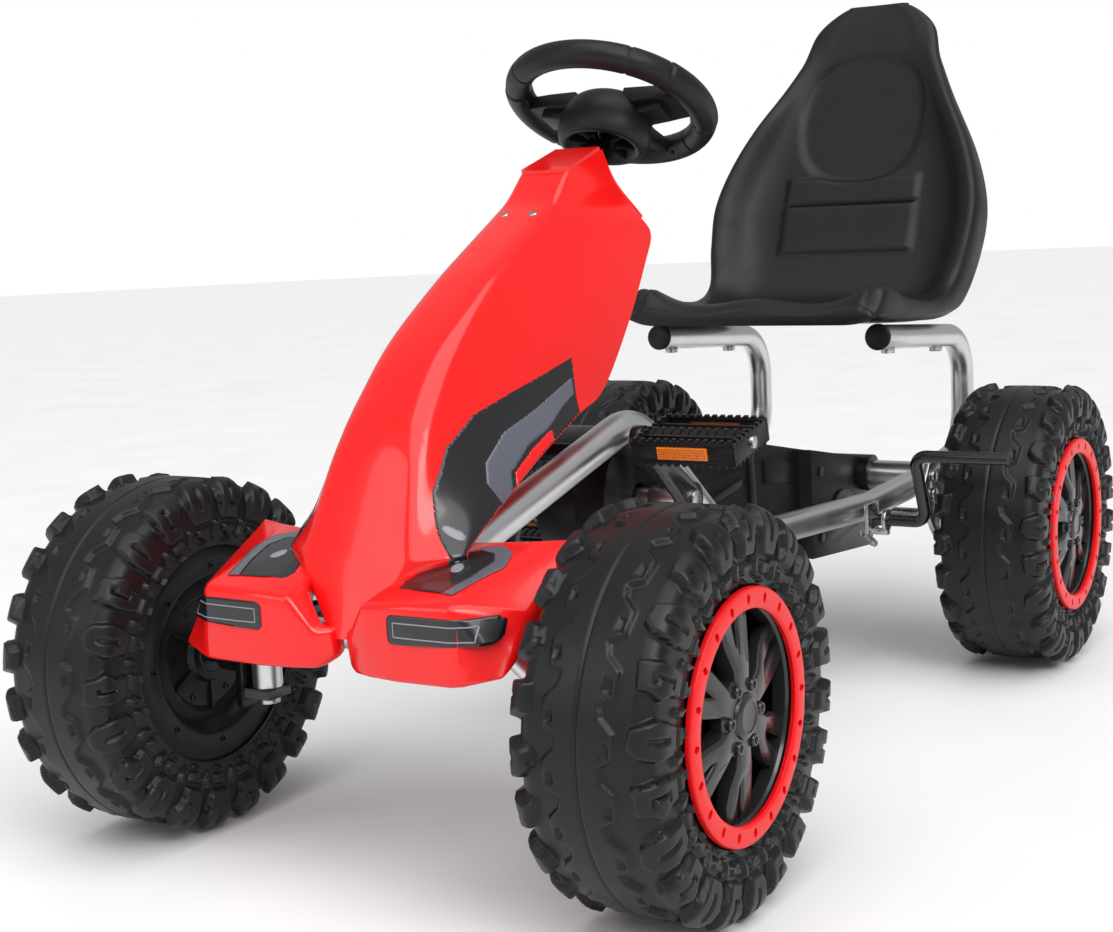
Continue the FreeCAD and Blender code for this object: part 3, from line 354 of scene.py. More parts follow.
def prism(shape, outline, low, high, to_point):
    """Adds an extruded polygon; to_point(u, v, w) places its corners, w from low to high."""
    base = [shape.verts.new(to_point(u, v, low)) for u, v in outline]
    top = [shape.verts.new(to_point(u, v, high)) for u, v in outline]
    count = len(outline)
    shape.faces.new(base[::-1])
    face = shape.faces.new(top)
    for k in range(count):
        beside = (k + 1) % count
        shape.faces.new((base[k], base[beside], top[beside], top[k]))
    return face


def in_place(u, v, w):
    return u * MM, v * MM, w * MM


def rectangle(low, high):
    return [(low[0], low[1]), (high[0], low[1]), (high[0], high[1]), (low[0], high[1])]


def slab(shape, low, high):
    """Adds a box between two corners, in millimetres."""
    prism(shape, rectangle(low, high), low[2], high[2], in_place)


def from_bmesh(name, shape, bevel=0.0, segments=2, angle=30):
    """Turns a bmesh into a mesh, with its sharp edges rounded first."""
    bmesh.ops.recalc_face_normals(shape, faces=shape.faces)
    if bevel:
        sharp = [
            e for e in shape.edges
            if len(e.link_faces) == 2 and e.calc_face_angle(0) > math.radians(angle)
        ]
        bmesh.ops.bevel(
            shape, geom=sharp, offset=bevel, offset_type="OFFSET", segments=segments,
            profile=0.5, affect="EDGES", clamp_overlap=True,
        )
    mesh = bpy.data.meshes.new(name)
    shape.to_mesh(mesh)
    shape.free()
    mesh.validate()
    mesh.update()
    return mesh


def refined(node, bevel, segments, angle, extra=None):
    """A copy of a CAD node with its edges rounded; extra(bmesh) may add detail to it first."""
    shape = bmesh_of(frame["nodes"][node].data)
    bmesh.ops.remove_doubles(shape, verts=shape.verts, dist=2e-6)
    bmesh.ops.dissolve_limit(
        shape, angle_limit=math.radians(1.0), verts=shape.verts, edges=shape.edges
    )
    if extra:
        extra(shape)
    stand_in(node, from_bmesh(node + "_mesh", shape, bevel, segments, angle))


def cut(body_mesh, tool_mesh):
    """The body with the tool taken away from it."""
    pair = [linked(m.name, m) for m in (body_mesh, tool_mesh)]
    boolean = pair[0].modifiers.new("cut", "BOOLEAN")
    boolean.operation = "DIFFERENCE"
    boolean.solver = "EXACT"
    boolean.object = pair[1]
    made = bpy.data.meshes.new_from_object(
        pair[0].evaluated_get(bpy.context.evaluated_depsgraph_get())
    )
    for item in pair:
        bpy.data.objects.remove(item)
    return made


# ---- Wheels -------------------------------------------------------------------------------
# A wheel is drawn about its own Y axis, its outer side at +Y, and turned round for the right.

WHEELS = [f"{end}_{side}" for end in ("front", "rear") for side in ("left", "right")]
SPOKE_ANGLES = [math.pi / 6 + k * math.pi / 3 for k in range(6)]
RING_POCKETS = 20
POCKET_RADIUS = 80.8
LUG_PAIRS = 11
LUG_COLUMNS = 56
CROWN_R = 138.0
PAIR_PITCH = 2 * math.pi * CROWN_R / LUG_PAIRS
LUG_PITCH = PAIR_PITCH / 2
HALF_CARCASS = [(0, 138), (20, 137.8), (34, 136.5)]
HALF_CARCASS += [
    (35.5 + 14 * math.sin(a), 122.5 + 14 * math.cos(a)) for a in np.radians([8, 25, 42, 60, 76, 90])
]
HALF_CARCASS += [(50.4, 112), (50.2, 104), (49.0, 96), (47.6, 88.6)]
ROUND_LUG = [(34, -5), (36, 8), (50, 15), (71, 11), (71, -8), (66, -13), (52, -15), (40, -12)]
HOUSE_LUG = [(36, 11), (52, 14), (71, 11), (71, -10), (60, -9), (51, -15), (44, -10), (38, -9)]


def lug_relief(along, across):
    """Height of the moulded tread above the carcass on one half of the tyre, in millimetres."""
    around = np.mod(along, LUG_PITCH)
    first = np.mod(along, PAIR_PITCH) < LUG_PITCH
    band_edge = np.interp(around, [0, 5, 22, 31, LUG_PITCH], [16, 26, 27, 18, 16])
    height = 3.6 * smooth_step((band_edge - across) / 2.4)
    notch = polygon_distance(across, around, [(17, 8), (22.5, 6), (23.5, 15), (18, 18)])
    height -= 2.4 * smooth_step(-notch / 1.2)
    height -= 1.2 * smooth_step((1.6 - across) / 1.2)
    local = around - LUG_PITCH / 2
    lug_top = np.interp(across, [30, 46, 60, 75], [7.2, 7.8, 6.0, 4.0])
    for outline, chosen in ((ROUND_LUG, first), (HOUSE_LUG, ~first)):
        inside = -polygon_distance(across, local, outline)
        lug = lug_top * smooth_step(inside / 2.3)
        height = np.where(chosen, np.maximum(height, lug), height)
    oval = np.hypot(np.maximum(np.abs(across - 53) - 5.5, 0), local) - 2.6
    bracket = np.maximum(np.abs(across - 53) - 7, np.abs(local) - 3.6)
    bracket = np.maximum(bracket, -np.maximum(np.abs(across - 53) - 4, np.abs(local + 2.4) - 2.8))
    slot = np.where(first, oval, bracket)
    height -= 2.6 * smooth_step(-slot / 1.2)
    for shift, outline in (
        (0, [(74, -9), (82, -8), (84, 2), (80, 9), (74, 9)]),
        (0, [(85, -6), (89, -5), (89, 7), (86, 6)]),
        (LUG_PITCH / 2, [(70, -4), (78, -5), (86, 2), (84, 6), (76, 3), (70, 4)]),
    ):
        block = np.mod(local + shift + LUG_PITCH / 2, LUG_PITCH) - LUG_PITCH / 2
        inside = -polygon_distance(across, block, outline)
        height = np.maximum(height, 4.0 * smooth_step(inside / 1.6))
    groove = np.maximum(np.abs(across - 78.5) - 1.0, np.abs(local) - 5.5)
    return height - 1.8 * smooth_step(-groove / 1.0)


def tyre_mesh():
    half = resample(HALF_CARCASS, 68)
    line = np.vstack([half[:0:-1] * [-1, 1], half])
    line = relaxed(line, 3)
    steps = np.linalg.norm(np.diff(line, axis=0), axis=1)
    reach = np.concatenate([[0], np.cumsum(steps)])
    across = reach - reach[-1] / 2
    tangent = np.gradient(line, axis=0)
    tangent /= np.linalg.norm(tangent, axis=1)[:, None]
    normal = np.stack([-tangent[:, 1], tangent[:, 0]], axis=1)
    along = np.arange(LUG_COLUMNS) * PAIR_PITCH / LUG_COLUMNS
    grid_across, grid_along = np.meshgrid(across, along, indexing="ij")
    shifted = np.where(grid_across < 0, grid_along + LUG_PITCH * 0.55, grid_along)
    relief = np.tile(lug_relief(shifted, np.abs(grid_across)), (1, LUG_PAIRS))
    depth = line[:, 0, None] + normal[:, 0, None] * relief
    radius = line[:, 1, None] + normal[:, 1, None] * relief
    lining = [(45, 87.5), (44.5, 98), (45, 118), (34, 130), (0, 132)]
    lining += [(-y, r) for y, r in reversed(lining[:-1])]
    count = relief.shape[1]
    depth = np.vstack([depth] + [np.full((1, count), y) for y, _ in lining])
    radius = np.vstack([radius] + [np.full((1, count), r) for _, r in lining])
    turn = np.arange(count) * 2 * math.pi / count
    points = np.stack([radius * np.cos(turn), depth, radius * np.sin(turn)], axis=2) * MM
    return ring_grid("tyre", points)


def ring_mesh():
    """Bead ring with rounded edges and oval pockets."""
    outline = [
        (73.6, 49.2), (73.2, 52.2), (74.2, 53.4), (76, 53.9), (85.6, 53.9), (87.6, 53.3),
        (88.4, 52), (88.2, 49.2),
    ]
    ring = ring_grid("bead_ring", lathe_points(outline, 160))
    turns = full_turn(16)
    pocket = [(math.cos(a) * 3.6, math.sin(a) * 2.5) for a in turns]
    cutter = bmesh.new()
    for k in range(RING_POCKETS):
        place = around_axle(2 * math.pi * k / RING_POCKETS, POCKET_RADIUS)
        prism(cutter, pocket, 50.4, 60, place)
    return cut(ring, from_bmesh("cutter", cutter))


def spoke_mesh():
    """Six forked spokes with chamfered faces, a domed hub cap, its bolts and an outer lip."""
    shape = bmesh.new()
    fork = [
        (17, -9), (34, -11), (48, -16), (60, -18.5), (77.5, -18.5), (77.5, -4), (62, -3),
        (49, -1.4), (44, 0), (49, 1.4), (62, 3), (77.5, 4), (77.5, 18.5), (60, 18.5), (48, 16),
        (34, 11), (17, 9),
    ]
    faces = []
    for angle in SPOKE_ANGLES:
        place = around_axle(angle)

        def spot(u, v, w):
            dip = 5.5 * smooth_step((u - 30) / 30.0) if w > 40 else 0
            return place(u, v, w - dip)

        faces.append(prism(shape, fork, 34, 47, spot))
    bmesh.ops.recalc_face_normals(shape, faces=shape.faces)
    bmesh.ops.inset_individual(shape, faces=faces, thickness=2.4 * MM, depth=1.6 * MM)
    spokes = from_bmesh("spokes", shape, 0.5 * MM, 2, 25)
    rounds = bmesh_of(spokes)
    bpy.data.meshes.remove(spokes)

    def add_capped(outline, count, offset=(0, 0, 0)):
        verts = add_rings(rounds, lathe_points(outline, count), offset)
        rounds.faces.new(verts[:count])
        rounds.faces.new(verts[-count:][::-1])

    hub_cap = [
        (20, 34), (27, 35), (28.5, 39), (28.5, 45), (26, 47.5), (20, 48.6), (16.5, 48.6),
        (15.5, 50.5), (13, 52), (11, 52.3), (10, 51.5), (4, 51.2),
    ]
    bolt = [(4.6, 44), (4.6, 50), (3.8, 51), (2.6, 51.2), (2.0, 49.5), (1.0, 49.3)]
    add_capped(hub_cap, 72)
    for k in range(6):
        angle = k * math.pi / 3
        spot_xz = (22.5 * math.cos(angle), 0, 22.5 * math.sin(angle))
        add_capped(bolt, 20, np.array(spot_xz) * MM)
    joined = bmesh_of(from_bmesh("spokes", rounds))
    lip = [(74.5, 34), (74.5, 44), (76, 46), (79.5, 46), (79.8, 34)]
    add_rings(joined, lathe_points(lip, 120), close_rows=True)
    return from_bmesh("spokes", joined)


def rim_mesh():
    """Dished inner disc with moulded rings, screw pockets and the barrel."""
    outline = [
        (8.1, -41), (15, -41), (16, -40), (22, -39.5), (25, -35), (33, -33.5), (44, -33.5),
        (46, -35),
        (49, -36.2), (52, -35), (56, -33.5), (60, -37), (64, -43), (67, -44.2), (86, -44.2),
        (88.2, -43.4), (88.2, -40), (84, -39.5), (84, 49), (80, 49), (80, -39), (68, -39),
        (58, -28.5), (20, -28.5), (20, 32), (8.1, 32),
    ]
    rim = ring_grid("rim", lathe_points(outline, 120))
    shape = bmesh_of(rim)
    bpy.data.meshes.remove(rim)
    for count, radius, size, depth in ((6, 39, 3.0, -34.6), (8, 72, 2.6, -45.2)):
        for k in range(count):
            angle = 2 * math.pi * k / count
            screw = [
                (size, depth + 1.5), (size, depth), (size * 0.6, depth), (size * 0.5, depth + 1.0)
            ]
            offset = np.array((radius * math.cos(angle), 0, radius * math.sin(angle))) * MM
            verts = add_rings(shape, lathe_points(screw, 16), offset)
            shape.faces.new(verts[:16])
            shape.faces.new(verts[-16:])
    rib = [(23, -1.6), (46, -1.2), (46, 1.2), (23, 1.6)]
    for angle in SPOKE_ANGLES:
        prism(shape, rib, -36.5, -33.0, around_axle(angle))
    return from_bmesh("rim", shape)


WHEEL_MESHES = {
    "tyre": (tyre_mesh(), 70),
    "rim": (rim_mesh(), 35),
    "bead_ring": (ring_mesh(), 40),
    "spokes": (spoke_mesh(), 28),
}
for wheel in WHEELS:
    low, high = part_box(f"tyre_{wheel}")
    centre = (low + high) / 2
    for kind, (mesh, angle) in WHEEL_MESHES.items():
        item = stand_in(f"{kind}_{wheel}", mesh.copy(), angle)
        bpy.context.view_layer.update()
        turn = Matrix.Rotation(0 if centre.y > 0 else math.pi, 4, "Z")
        item.matrix_world = Matrix.Translation(centre) @ turn

# ---- Bodywork -----------------------------------------------------------------------------

COWL_WALL = 3.6
HEAD_WALL = 3.0
# Each row: the front edge's (x, z, half width), then the rear edge's.
COWL_SECTIONS = (
    ((497, 190, 12), (484, 190, 14)),
    ((488, 214, 30), (468, 214, 36)),
    ((480, 239, 46), (452, 240, 76)),
    ((474, 255, 45), (440, 255, 80)),
    ((455, 301, 41), (352, 300, 79)),
    ((443, 326, 38), (284, 328, 77)),
    ((427, 350, 35), (240, 344, 75)),
    ((387, 393, 31), (184, 394, 69)),
    ((330, 434, 27), (140, 440, 62)),
    ((287, 459, 26), (119, 464, 57)),
    ((240, 484, 26), (127, 480, 51)),
    ((219, 497, 25), (138, 508, 34)),
    ((196, 519, 24), (140, 537, 22)),
)


def bowed(start, middle, end, count):
    """A curve from start to end that passes through middle halfway."""
    t = np.linspace(0, 1, count)[:, None]
    control = 2 * np.array(middle) - (np.array(start) + np.array(end)) / 2
    return (1 - t) ** 2 * start + 2 * t * (1 - t) * control + t**2 * end


def cowl_row(front_x, front_z, half, rear_x, rear_z, rear_half):
    """One cross-section of the cowl's outer face, from its left rear edge to its right."""
    side_y = half + (rear_half - half) * 0.68
    side = bowed(
        np.array([rear_x, rear_half]), np.array([(front_x + rear_x) / 2, side_y]),
        np.array([front_x, half]), 40,
    )
    front = bowed(
        np.array([front_x, half]), np.array([front_x + 2.5, 0]), np.array([front_x, -half]), 26
    )
    line = np.vstack([side, front[1:-1], (side * [1, -1])[::-1]])
    line = relaxed(resample(line, 110), 9)
    slope = (rear_z - front_z) / (rear_x - front_x)
    return np.stack([line[:, 0], line[:, 1], front_z + (line[:, 0] - front_x) * slope], axis=1)


def shell_from_grid(name, outer, wall):
    """A closed wall of even thickness behind an open grid of points."""
    along = np.gradient(outer, axis=0)
    beside = np.gradient(outer, axis=1)
    normal = np.cross(beside, along)
    normal /= np.maximum(np.linalg.norm(normal, axis=2), 1e-9)[..., None]
    middle = outer.mean(axis=(0, 1))
    if ((outer - middle) * normal).sum() < 0:
        normal = -normal
    inner = outer - normal * wall
    rows, cols = outer.shape[:2]
    around = np.concatenate([outer, inner[:, ::-1]], axis=1)
    faces = grid_faces(rows, cols * 2, False, True)
    for row in (0, rows - 1):
        base = row * cols * 2
        for k in range(cols - 1):
            quad = (base + k, base + k + 1, base + 2 * cols - 2 - k, base + 2 * cols - 1 - k)
            faces.append(quad if row else quad[::-1])
    return outward(mesh_from(name, (around * MM).reshape(-1, 3), faces))


keys = np.array([[*front, *rear] for front, rear in COWL_SECTIONS], float)
dense = catmull(keys, np.linspace(0, len(keys) - 1, 150))
cowl_grid = np.array([cowl_row(*row) for row in dense])
cowl = stand_in("front_cowl", shell_from_grid("cowl", cowl_grid, COWL_WALL), 50)

CHEEK_SECTIONS = (
    (5, (497, 176), (500, 197), (488, 199), (486, 177)),
    (16, (508, 168), (512, 197), (498, 200), (496, 169)),
    (33, (514, 168), (517, 222), (494, 226), (494, 170)),
    (60, (518, 168), (519, 224), (428, 252), (432, 176)),
    (112, (520, 169), (517, 226), (414, 254), (432, 180)),
    (146, (507, 176), (474, 214), (410, 255), (438, 212)),
)
CHEEK_HOLLOW = (
    (38, (510, 120), (513, 217), (470, 221), (470, 120)),
    (60, (514, 120), (515, 219), (380, 246), (380, 120)),
    (112, (516, 120), (513, 221), (380, 249), (380, 120)),
    (141, (503, 120), (474, 207), (380, 249), (380, 120)),
)


def section_loft(sections, side):
    """A solid through four-cornered sections, each given as its y and its (x, z) corners."""
    shape = bmesh.new()
    rings = [
        [shape.verts.new((x * MM, side * y * MM, z * MM)) for x, z in corners]
        for y, *corners in sections
    ]
    for first, second in zip(rings, rings[1:]):
        for k in range(4):
            beside = (k + 1) % 4
            shape.faces.new((first[k], first[beside], second[beside], second[k]))
    shape.faces.new(rings[0])
    shape.faces.new(rings[-1])
    bmesh.ops.recalc_face_normals(shape, faces=shape.faces)
    return shape


def cheek_mesh(side):
    """A wing of the nose with rounded edges, hollow from behind and below."""
    outer = from_bmesh("cheek_outer", section_loft(CHEEK_SECTIONS, side), 4.5 * MM, 4, 14)
    return cut(outer, from_bmesh("cheek_hollow", section_loft(CHEEK_HOLLOW, side)))


SIDES = ((1, "left"), (-1, "right"))
CHEEKS = {
    side: stand_in(f"nose_cheek_{side_name}", cheek_mesh(side), 30) for side, side_name in SIDES
}


def surface_tree(item):
    return BVHTree.FromPolygons(
        [item.matrix_world @ v.co for v in item.data.vertices],
        [tuple(p.vertices) for p in item.data.polygons],
    )


def decal(name, tree, outline, to_ray, material, lift, step=1.6):
    """A thin film laid on a surface; to_ray(u, v) gives a start and a direction."""
    corners = [tuple(p) for p in outline]
    us = [p[0] for p in corners]
    vs = [p[1] for p in corners]
    u_line = np.arange(min(us) - step, max(us) + step, step)
    v_line = np.arange(min(vs) - step, max(vs) + step, step)
    u_grid, v_grid = np.meshgrid(u_line, v_line, indexing="ij")
    away = polygon_distance(u_grid, v_grid, corners)
    shape = bmesh.new()
    made = {}

    def nearest_edge(u, v):
        best, spot = 1e9, (u, v)
        for (ax, ay), (bx, by) in zip(corners, corners[-1:] + corners[:-1]):
            ex, ey = bx - ax, by - ay
            share = min(1, max(0, ((u - ax) * ex + (v - ay) * ey) / (ex * ex + ey * ey)))
            gap = (u - ax - ex * share) ** 2 + (v - ay - ey * share) ** 2
            if gap < best:
                best, spot = gap, (ax + ex * share, ay + ey * share)
        return spot

    def vertex(i, j):
        if (i, j) not in made:
            u, v = u_grid[i, j], v_grid[i, j]
            if away[i, j] > -0.5 * step:
                u, v = nearest_edge(u, v)
            start, direction = to_ray(u, v)
            hit, normal, _, _ = tree.ray_cast(Vector(start) * MM, Vector(direction))
            if hit is None:
                made[i, j] = None
            else:
                if normal.dot(Vector(direction)) > 0:
                    normal = -normal
                normal = (normal - Vector(direction)).normalized()
                made[i, j] = shape.verts.new(hit + normal * lift * MM)
        return made[i, j]

    for i in range(len(u_line) - 1):
        for j in range(len(v_line) - 1):
            square = [(i, j), (i + 1, j), (i + 1, j + 1), (i, j + 1)]
            if sum(away[p] for p in square) / 4 > 0 or max(away[p] for p in square) > step * 0.9:
                continue
            found = [vertex(*p) for p in square]
            if None in found or len(set(found)) < 4:
                continue
            if max((a.co - b.co).length for a, b in zip(found, found[1:])) < 14 * step * MM:
                shape.faces.new(found)
    loose = [v for v in shape.verts if not v.link_faces]
    bmesh.ops.delete(shape, geom=loose, context="VERTS")
    mesh = bpy.data.meshes.new(name)
    shape.normal_update()
    shape.to_mesh(mesh)
    shape.free()
    item = add_object(name, mesh, "chassis", material)
    thick = item.modifiers.new("film", "SOLIDIFY")
    thick.thickness = FILM_THICKNESS * MM
    thick.offset = 0


# How far the middle of a film stands off the surface, in millimetres.
LOWER_FILM, UPPER_FILM = 0.25, 0.50
FILM_THICKNESS = 0.25
SWOOSH_BLACK = [
    (272, 372), (350, 352), (392, 340), (425, 320), (447, 292), (458, 262), (464, 236), (438, 246),
    (400, 270), (372, 288), (335, 300), (300, 318), (283, 326),
]
SWOOSH_GREY = [
    (279, 357), (330, 338), (372, 325), (400, 306), (407, 292), (402, 276), (408, 262), (420, 252),
    (412, 256), (392, 268), (386, 284), (382, 296), (352, 314), (326, 322), (300, 336), (281, 344),
]
SWOOSH_RED = [
    (322, 322), (352, 310), (378, 296), (384, 280), (392, 266), (372, 280), (345, 296), (326, 306),
]
WING_BLACK = [
    (496, 52), (486, 50), (452, 62), (436, 84), (438, 96), (452, 104), (476, 100), (500, 92),
]
WING_GREY = [
    (434, 80), (428, 96), (436, 110), (456, 116), (480, 108), (502, 102), (500, 92), (476, 100),
    (452, 104), (440, 97), (438, 84),
]
STRIPE = [
    (57, 199), (60, 196), (134, 199), (138, 203), (137, 214), (133, 217), (60, 217), (57, 214),
]
LINE_LOW, LINE_HIGH = (62, 201), (126, 212)
LINE_WIDTH = 0.9
STRIPE_LINES = [
    rectangle((LINE_LOW[0], level), (LINE_HIGH[0], level + LINE_WIDTH))
    for level in (LINE_LOW[1], LINE_HIGH[1] - LINE_WIDTH)
] + [
    rectangle((across, LINE_LOW[1]), (across + LINE_WIDTH, LINE_HIGH[1]))
    for across in (LINE_LOW[0], LINE_HIGH[0] - LINE_WIDTH)
]


def oval(centre, reach, lean=0.0, count=18):
    """A leaning ellipse as an outline."""
    turn = full_turn(count)
    wide, tall = reach[0] * np.cos(turn), reach[1] * np.sin(turn)
    (x, y), cos, sin = centre, math.cos(lean), math.sin(lean)
    return [(x + a * cos - b * sin, y + a * sin + b * cos) for a, b in zip(wide, tall)]


SWOOSH_OVAL = oval((449, 262), (6.5, 4.2), 0.9)
WING_OVAL = oval((466, 82), (7, 5), 0.5)
WING_OVAL_SMALL = oval((457, 75), (3, 2.4), 0.5)
cowl_tree = surface_tree(cowl)
for side, side_name in SIDES:
    tree = surface_tree(CHEEKS[side])
    from_side = lambda x, z: ((x, side * 300, z), (0, -side, 0))
    from_above = lambda x, y: ((x, side * y, 400), (0, 0, -1))
    from_front = lambda y, z: ((700, side * y, z), (-1, 0, 0))
    for label, onto, outline, to_ray, material in (
        ("swoosh_black", cowl_tree, SWOOSH_BLACK, from_side, DECAL_BLACK),
        ("swoosh_grey", cowl_tree, SWOOSH_GREY, from_side, DECAL_GREY),
        ("swoosh_red", cowl_tree, SWOOSH_RED, from_side, MATERIALS["red_shell"]),
        ("wing_black", tree, WING_BLACK, from_above, DECAL_BLACK),
        ("wing_grey", tree, WING_GREY, from_above, DECAL_GREY),
        ("stripe_black", tree, STRIPE, from_front, DECAL_BLACK),
        ("swoosh_oval", cowl_tree, SWOOSH_OVAL, from_side, DECAL_PALE),
        ("wing_oval", tree, WING_OVAL, from_above, DECAL_PALE),
        ("wing_oval_small", tree, WING_OVAL_SMALL, from_above, DECAL_PALE),
    ):
        lift = LOWER_FILM if material == DECAL_BLACK else UPPER_FILM
        decal(f"{label}_{side_name}", onto, outline, to_ray, material, lift)
    for index, outline in enumerate(STRIPE_LINES):
        name = f"stripe_line_{index}_{side_name}"
        decal(name, tree, outline, from_front, DECAL_PALE, UPPER_FILM, 0.45)

# The head of the cowl is closed by a lid and a short wall towards the rider.


def bridge(left, right, count, bow):
    """Rows of points across the cowl from one edge line to the other, bowed towards the rider."""
    share = np.linspace(0, 1, count)
    rows = left[:, None] * (1 - share[:, None]) + right[:, None] * share[:, None]
    rows[..., 0] -= bow * np.sin(share * math.pi)
    return rows


HEAD_ROWS = cowl_grid[-27:]
LID_ROW = cowl_grid[-1]
for name, grid in (
    ("cowl_head_wall", bridge(HEAD_ROWS[:, 0], HEAD_ROWS[:, -1], 14, 2.5)),
    ("cowl_head_lid", bridge(LID_ROW[:54], LID_ROW[:55:-1], 12, 0)),
):
    head = shell_from_grid(name, grid, HEAD_WALL)
    add_object(name, head, "chassis", MATERIALS["red_shell"], smooth_angle=50)
for side, _ in SIDES:
    recess = bmesh.new()
    bmesh.ops.create_cone(
        recess, cap_ends=True, segments=24, radius1=4.2 * MM, radius2=3.2 * MM, depth=1.6 * MM
    )
    screw = from_bmesh("cowl_screw", recess, 0.4 * MM, 2)
    spot = surface_tree(cowl).ray_cast(Vector((0.238, side * 0.014, 0.70)), Vector((0, 0, -1)))
    if spot[0] is not None:
        made = add_object(f"cowl_screw_{side + 2}", screw, "chassis", MATERIALS["bright_steel"])
        made.rotation_mode = "QUATERNION"
        made.location = spot[0]
        made.rotation_quaternion = spot[1].to_track_quat("Z", "Y")

# ---- Seat ---------------------------------------------------------------------------------

# Each row: x, z, the skin's tilt in degrees, half width, bolster height, thickness.
SEAT_SECTIONS = (
    (-184, 376, -6, 140, 4, 14),
    (-206, 386, -4, 146, 18, 24),
    (-262, 377, 3, 149, 12, 19),
    (-345, 372, 3, 150, 10, 18),
    (-400, 380, 28, 152, 24, 24),
    (-436, 425, 60, 160, 34, 22),
    (-458, 475, 65, 161, 36, 20),
    (-482, 532, 66, 143, 32, 18),
    (-510, 602, 67, 106, 22, 16),
    (-536, 666, 68, 74, 14, 15),
    (-555.9, 708, 70, 40, 8, 15),
)


def seat_mesh():
    """One closed skin with bolsters, a back recess, lumbar pads and a waved lip."""
    rows = catmull(np.array(SEAT_SECTIONS), np.linspace(0, len(SEAT_SECTIONS) - 1, 190))
    rings = []
    for index, (x, z, angle, half, bolster, thick) in enumerate(rows):
        tilt = math.radians(angle)
        normal = np.array([math.sin(tilt), 0, math.cos(tilt)])
        bolster *= 1 - 0.93 * smooth_step((z - 560) / 120)
        half += 15 * smooth_step((z - 640) / 60)
        half *= 0.6 + 0.4 * math.sqrt(max(0.0, 1 - max(0.0, (z - 674) / 35) ** 2))
        flat = half * 0.72
        face = np.array([
            [-half + 2, -thick * 0.5], [-half, bolster - 4], [-half + 5, bolster],
            [-half + 14, bolster - 1], [-flat, 1], [-flat * 0.8, 0], [0, -0.5],
            [flat * 0.8, 0], [flat, 1], [half - 14, bolster - 1],
            [half - 5, bolster], [half, bolster - 4], [half - 2, -thick * 0.5],
        ])
        back = np.array([
            [half - 2, -thick * 0.5], [half - 16, -thick], [-half + 16, -thick],
            [-half + 2, -thick * 0.5],
        ])
        face = relaxed(resample(face, 120), 26)
        back = relaxed(resample(back, 50), 8)
        y, up = face[:, 0], face[:, 1].copy()
        if z > 410 and angle > 45:
            from_middle = (np.abs(y / 78) ** 2.5 + abs((z - 578) / 76) ** 2.5) ** 0.4
            oval_in = smooth_step((1.0 - from_middle) * 9)
            up -= 4.2 * oval_in
            pads = np.maximum(np.abs(y) - 82, abs(z - 468) - 44)
            pads = smooth_step(-pads / 5) * (1 - oval_in)
            line = 1 - smooth_step(abs(z - 480) / 3.0)
            up += (4.0 * pads) * (1 - line)
        elif x > -300:
            fade = smooth_step((x + 300) / 60)
            up += fade * 3.0 * np.cos(y / 62 * math.pi) * (np.abs(y) < 124)
        ring = np.vstack([np.stack([y, up], axis=1), back[1:-1]])
        across = ring[:, :1] * np.array([0, 1, 0])
        rings.append(np.array([x, 0, z]) + across + ring[:, 1:] * normal)
    rings = np.array(rings)

    def closing(ring, push):
        middle = ring.mean(axis=0)
        flat = ring - middle
        made = []
        for share in (0.15, 0.4, 0.7, 0.92, 1.0):
            squeeze = math.sqrt(1 - share**2) if share < 1 else 0.02
            scale = np.array([squeeze, 0.97 + 0.03 * squeeze, squeeze])
            made.append(middle + flat * scale + np.array(push) * share)
        return made

    start = closing(rings[0], (5, 0, 0))[::-1]
    end = closing(rings[-1], (-1.5, 0, 2.2))
    return ring_grid("seat", np.array([*start, *rings, *end]) * MM, cap_ends=True)


stand_in("seat_bucket", seat_mesh(), 60)

# ---- Steering -----------------------------------------------------------------------------
# Drawn about the column: local Z up the column, local X forwards.

COLUMN_TOP = Vector((79.5, 0, 578)) * MM
COLUMN_TILT = math.radians(-28.5)
COLUMN = Matrix.Translation(COLUMN_TOP) @ Matrix.Rotation(COLUMN_TILT, 4, "Y")
RIM_RADIUS = 83.5
RIM_WIDE, RIM_TALL = 11.6, 12.2
GRIP_SEAMS = (38, 62, 118, 142, 218, 242, 298, 322)


def placed(mesh, matrix):
    mesh.transform(matrix)
    mesh.update()
    return mesh


def rim_grid():
    """Thick moulded rim with seams, finger grips at the sides and small moulded slots below."""
    turn = np.linspace(0, 360, 540, endpoint=False)
    section = full_turn(48)
    grid_turn, grid_section = np.meshgrid(turn, section, indexing="ij")
    dip = np.zeros_like(grid_turn)
    for seam in GRIP_SEAMS:
        dip += 0.9 * np.exp(-(((grid_turn - seam) / 0.8) ** 2))
    sideways = np.minimum(np.abs(grid_turn - 90), np.abs(grid_turn - 270))
    dip -= 0.7 * smooth_step((28 - sideways) / 2)
    for slot in range(8):
        near = (grid_turn - 22.5 - slot * 45) / 1.2
        below = (grid_section - math.radians(235)) / 0.13
        dip += 2.2 * np.exp(-(near**4)) * np.exp(-(below**4))
    reach = RIM_RADIUS + (RIM_WIDE - dip) * np.cos(grid_section)
    rise = (RIM_TALL - dip) * np.sin(grid_section)
    angle = np.radians(grid_turn)
    return np.stack([reach * np.cos(angle), reach * np.sin(angle), rise], axis=2) * MM


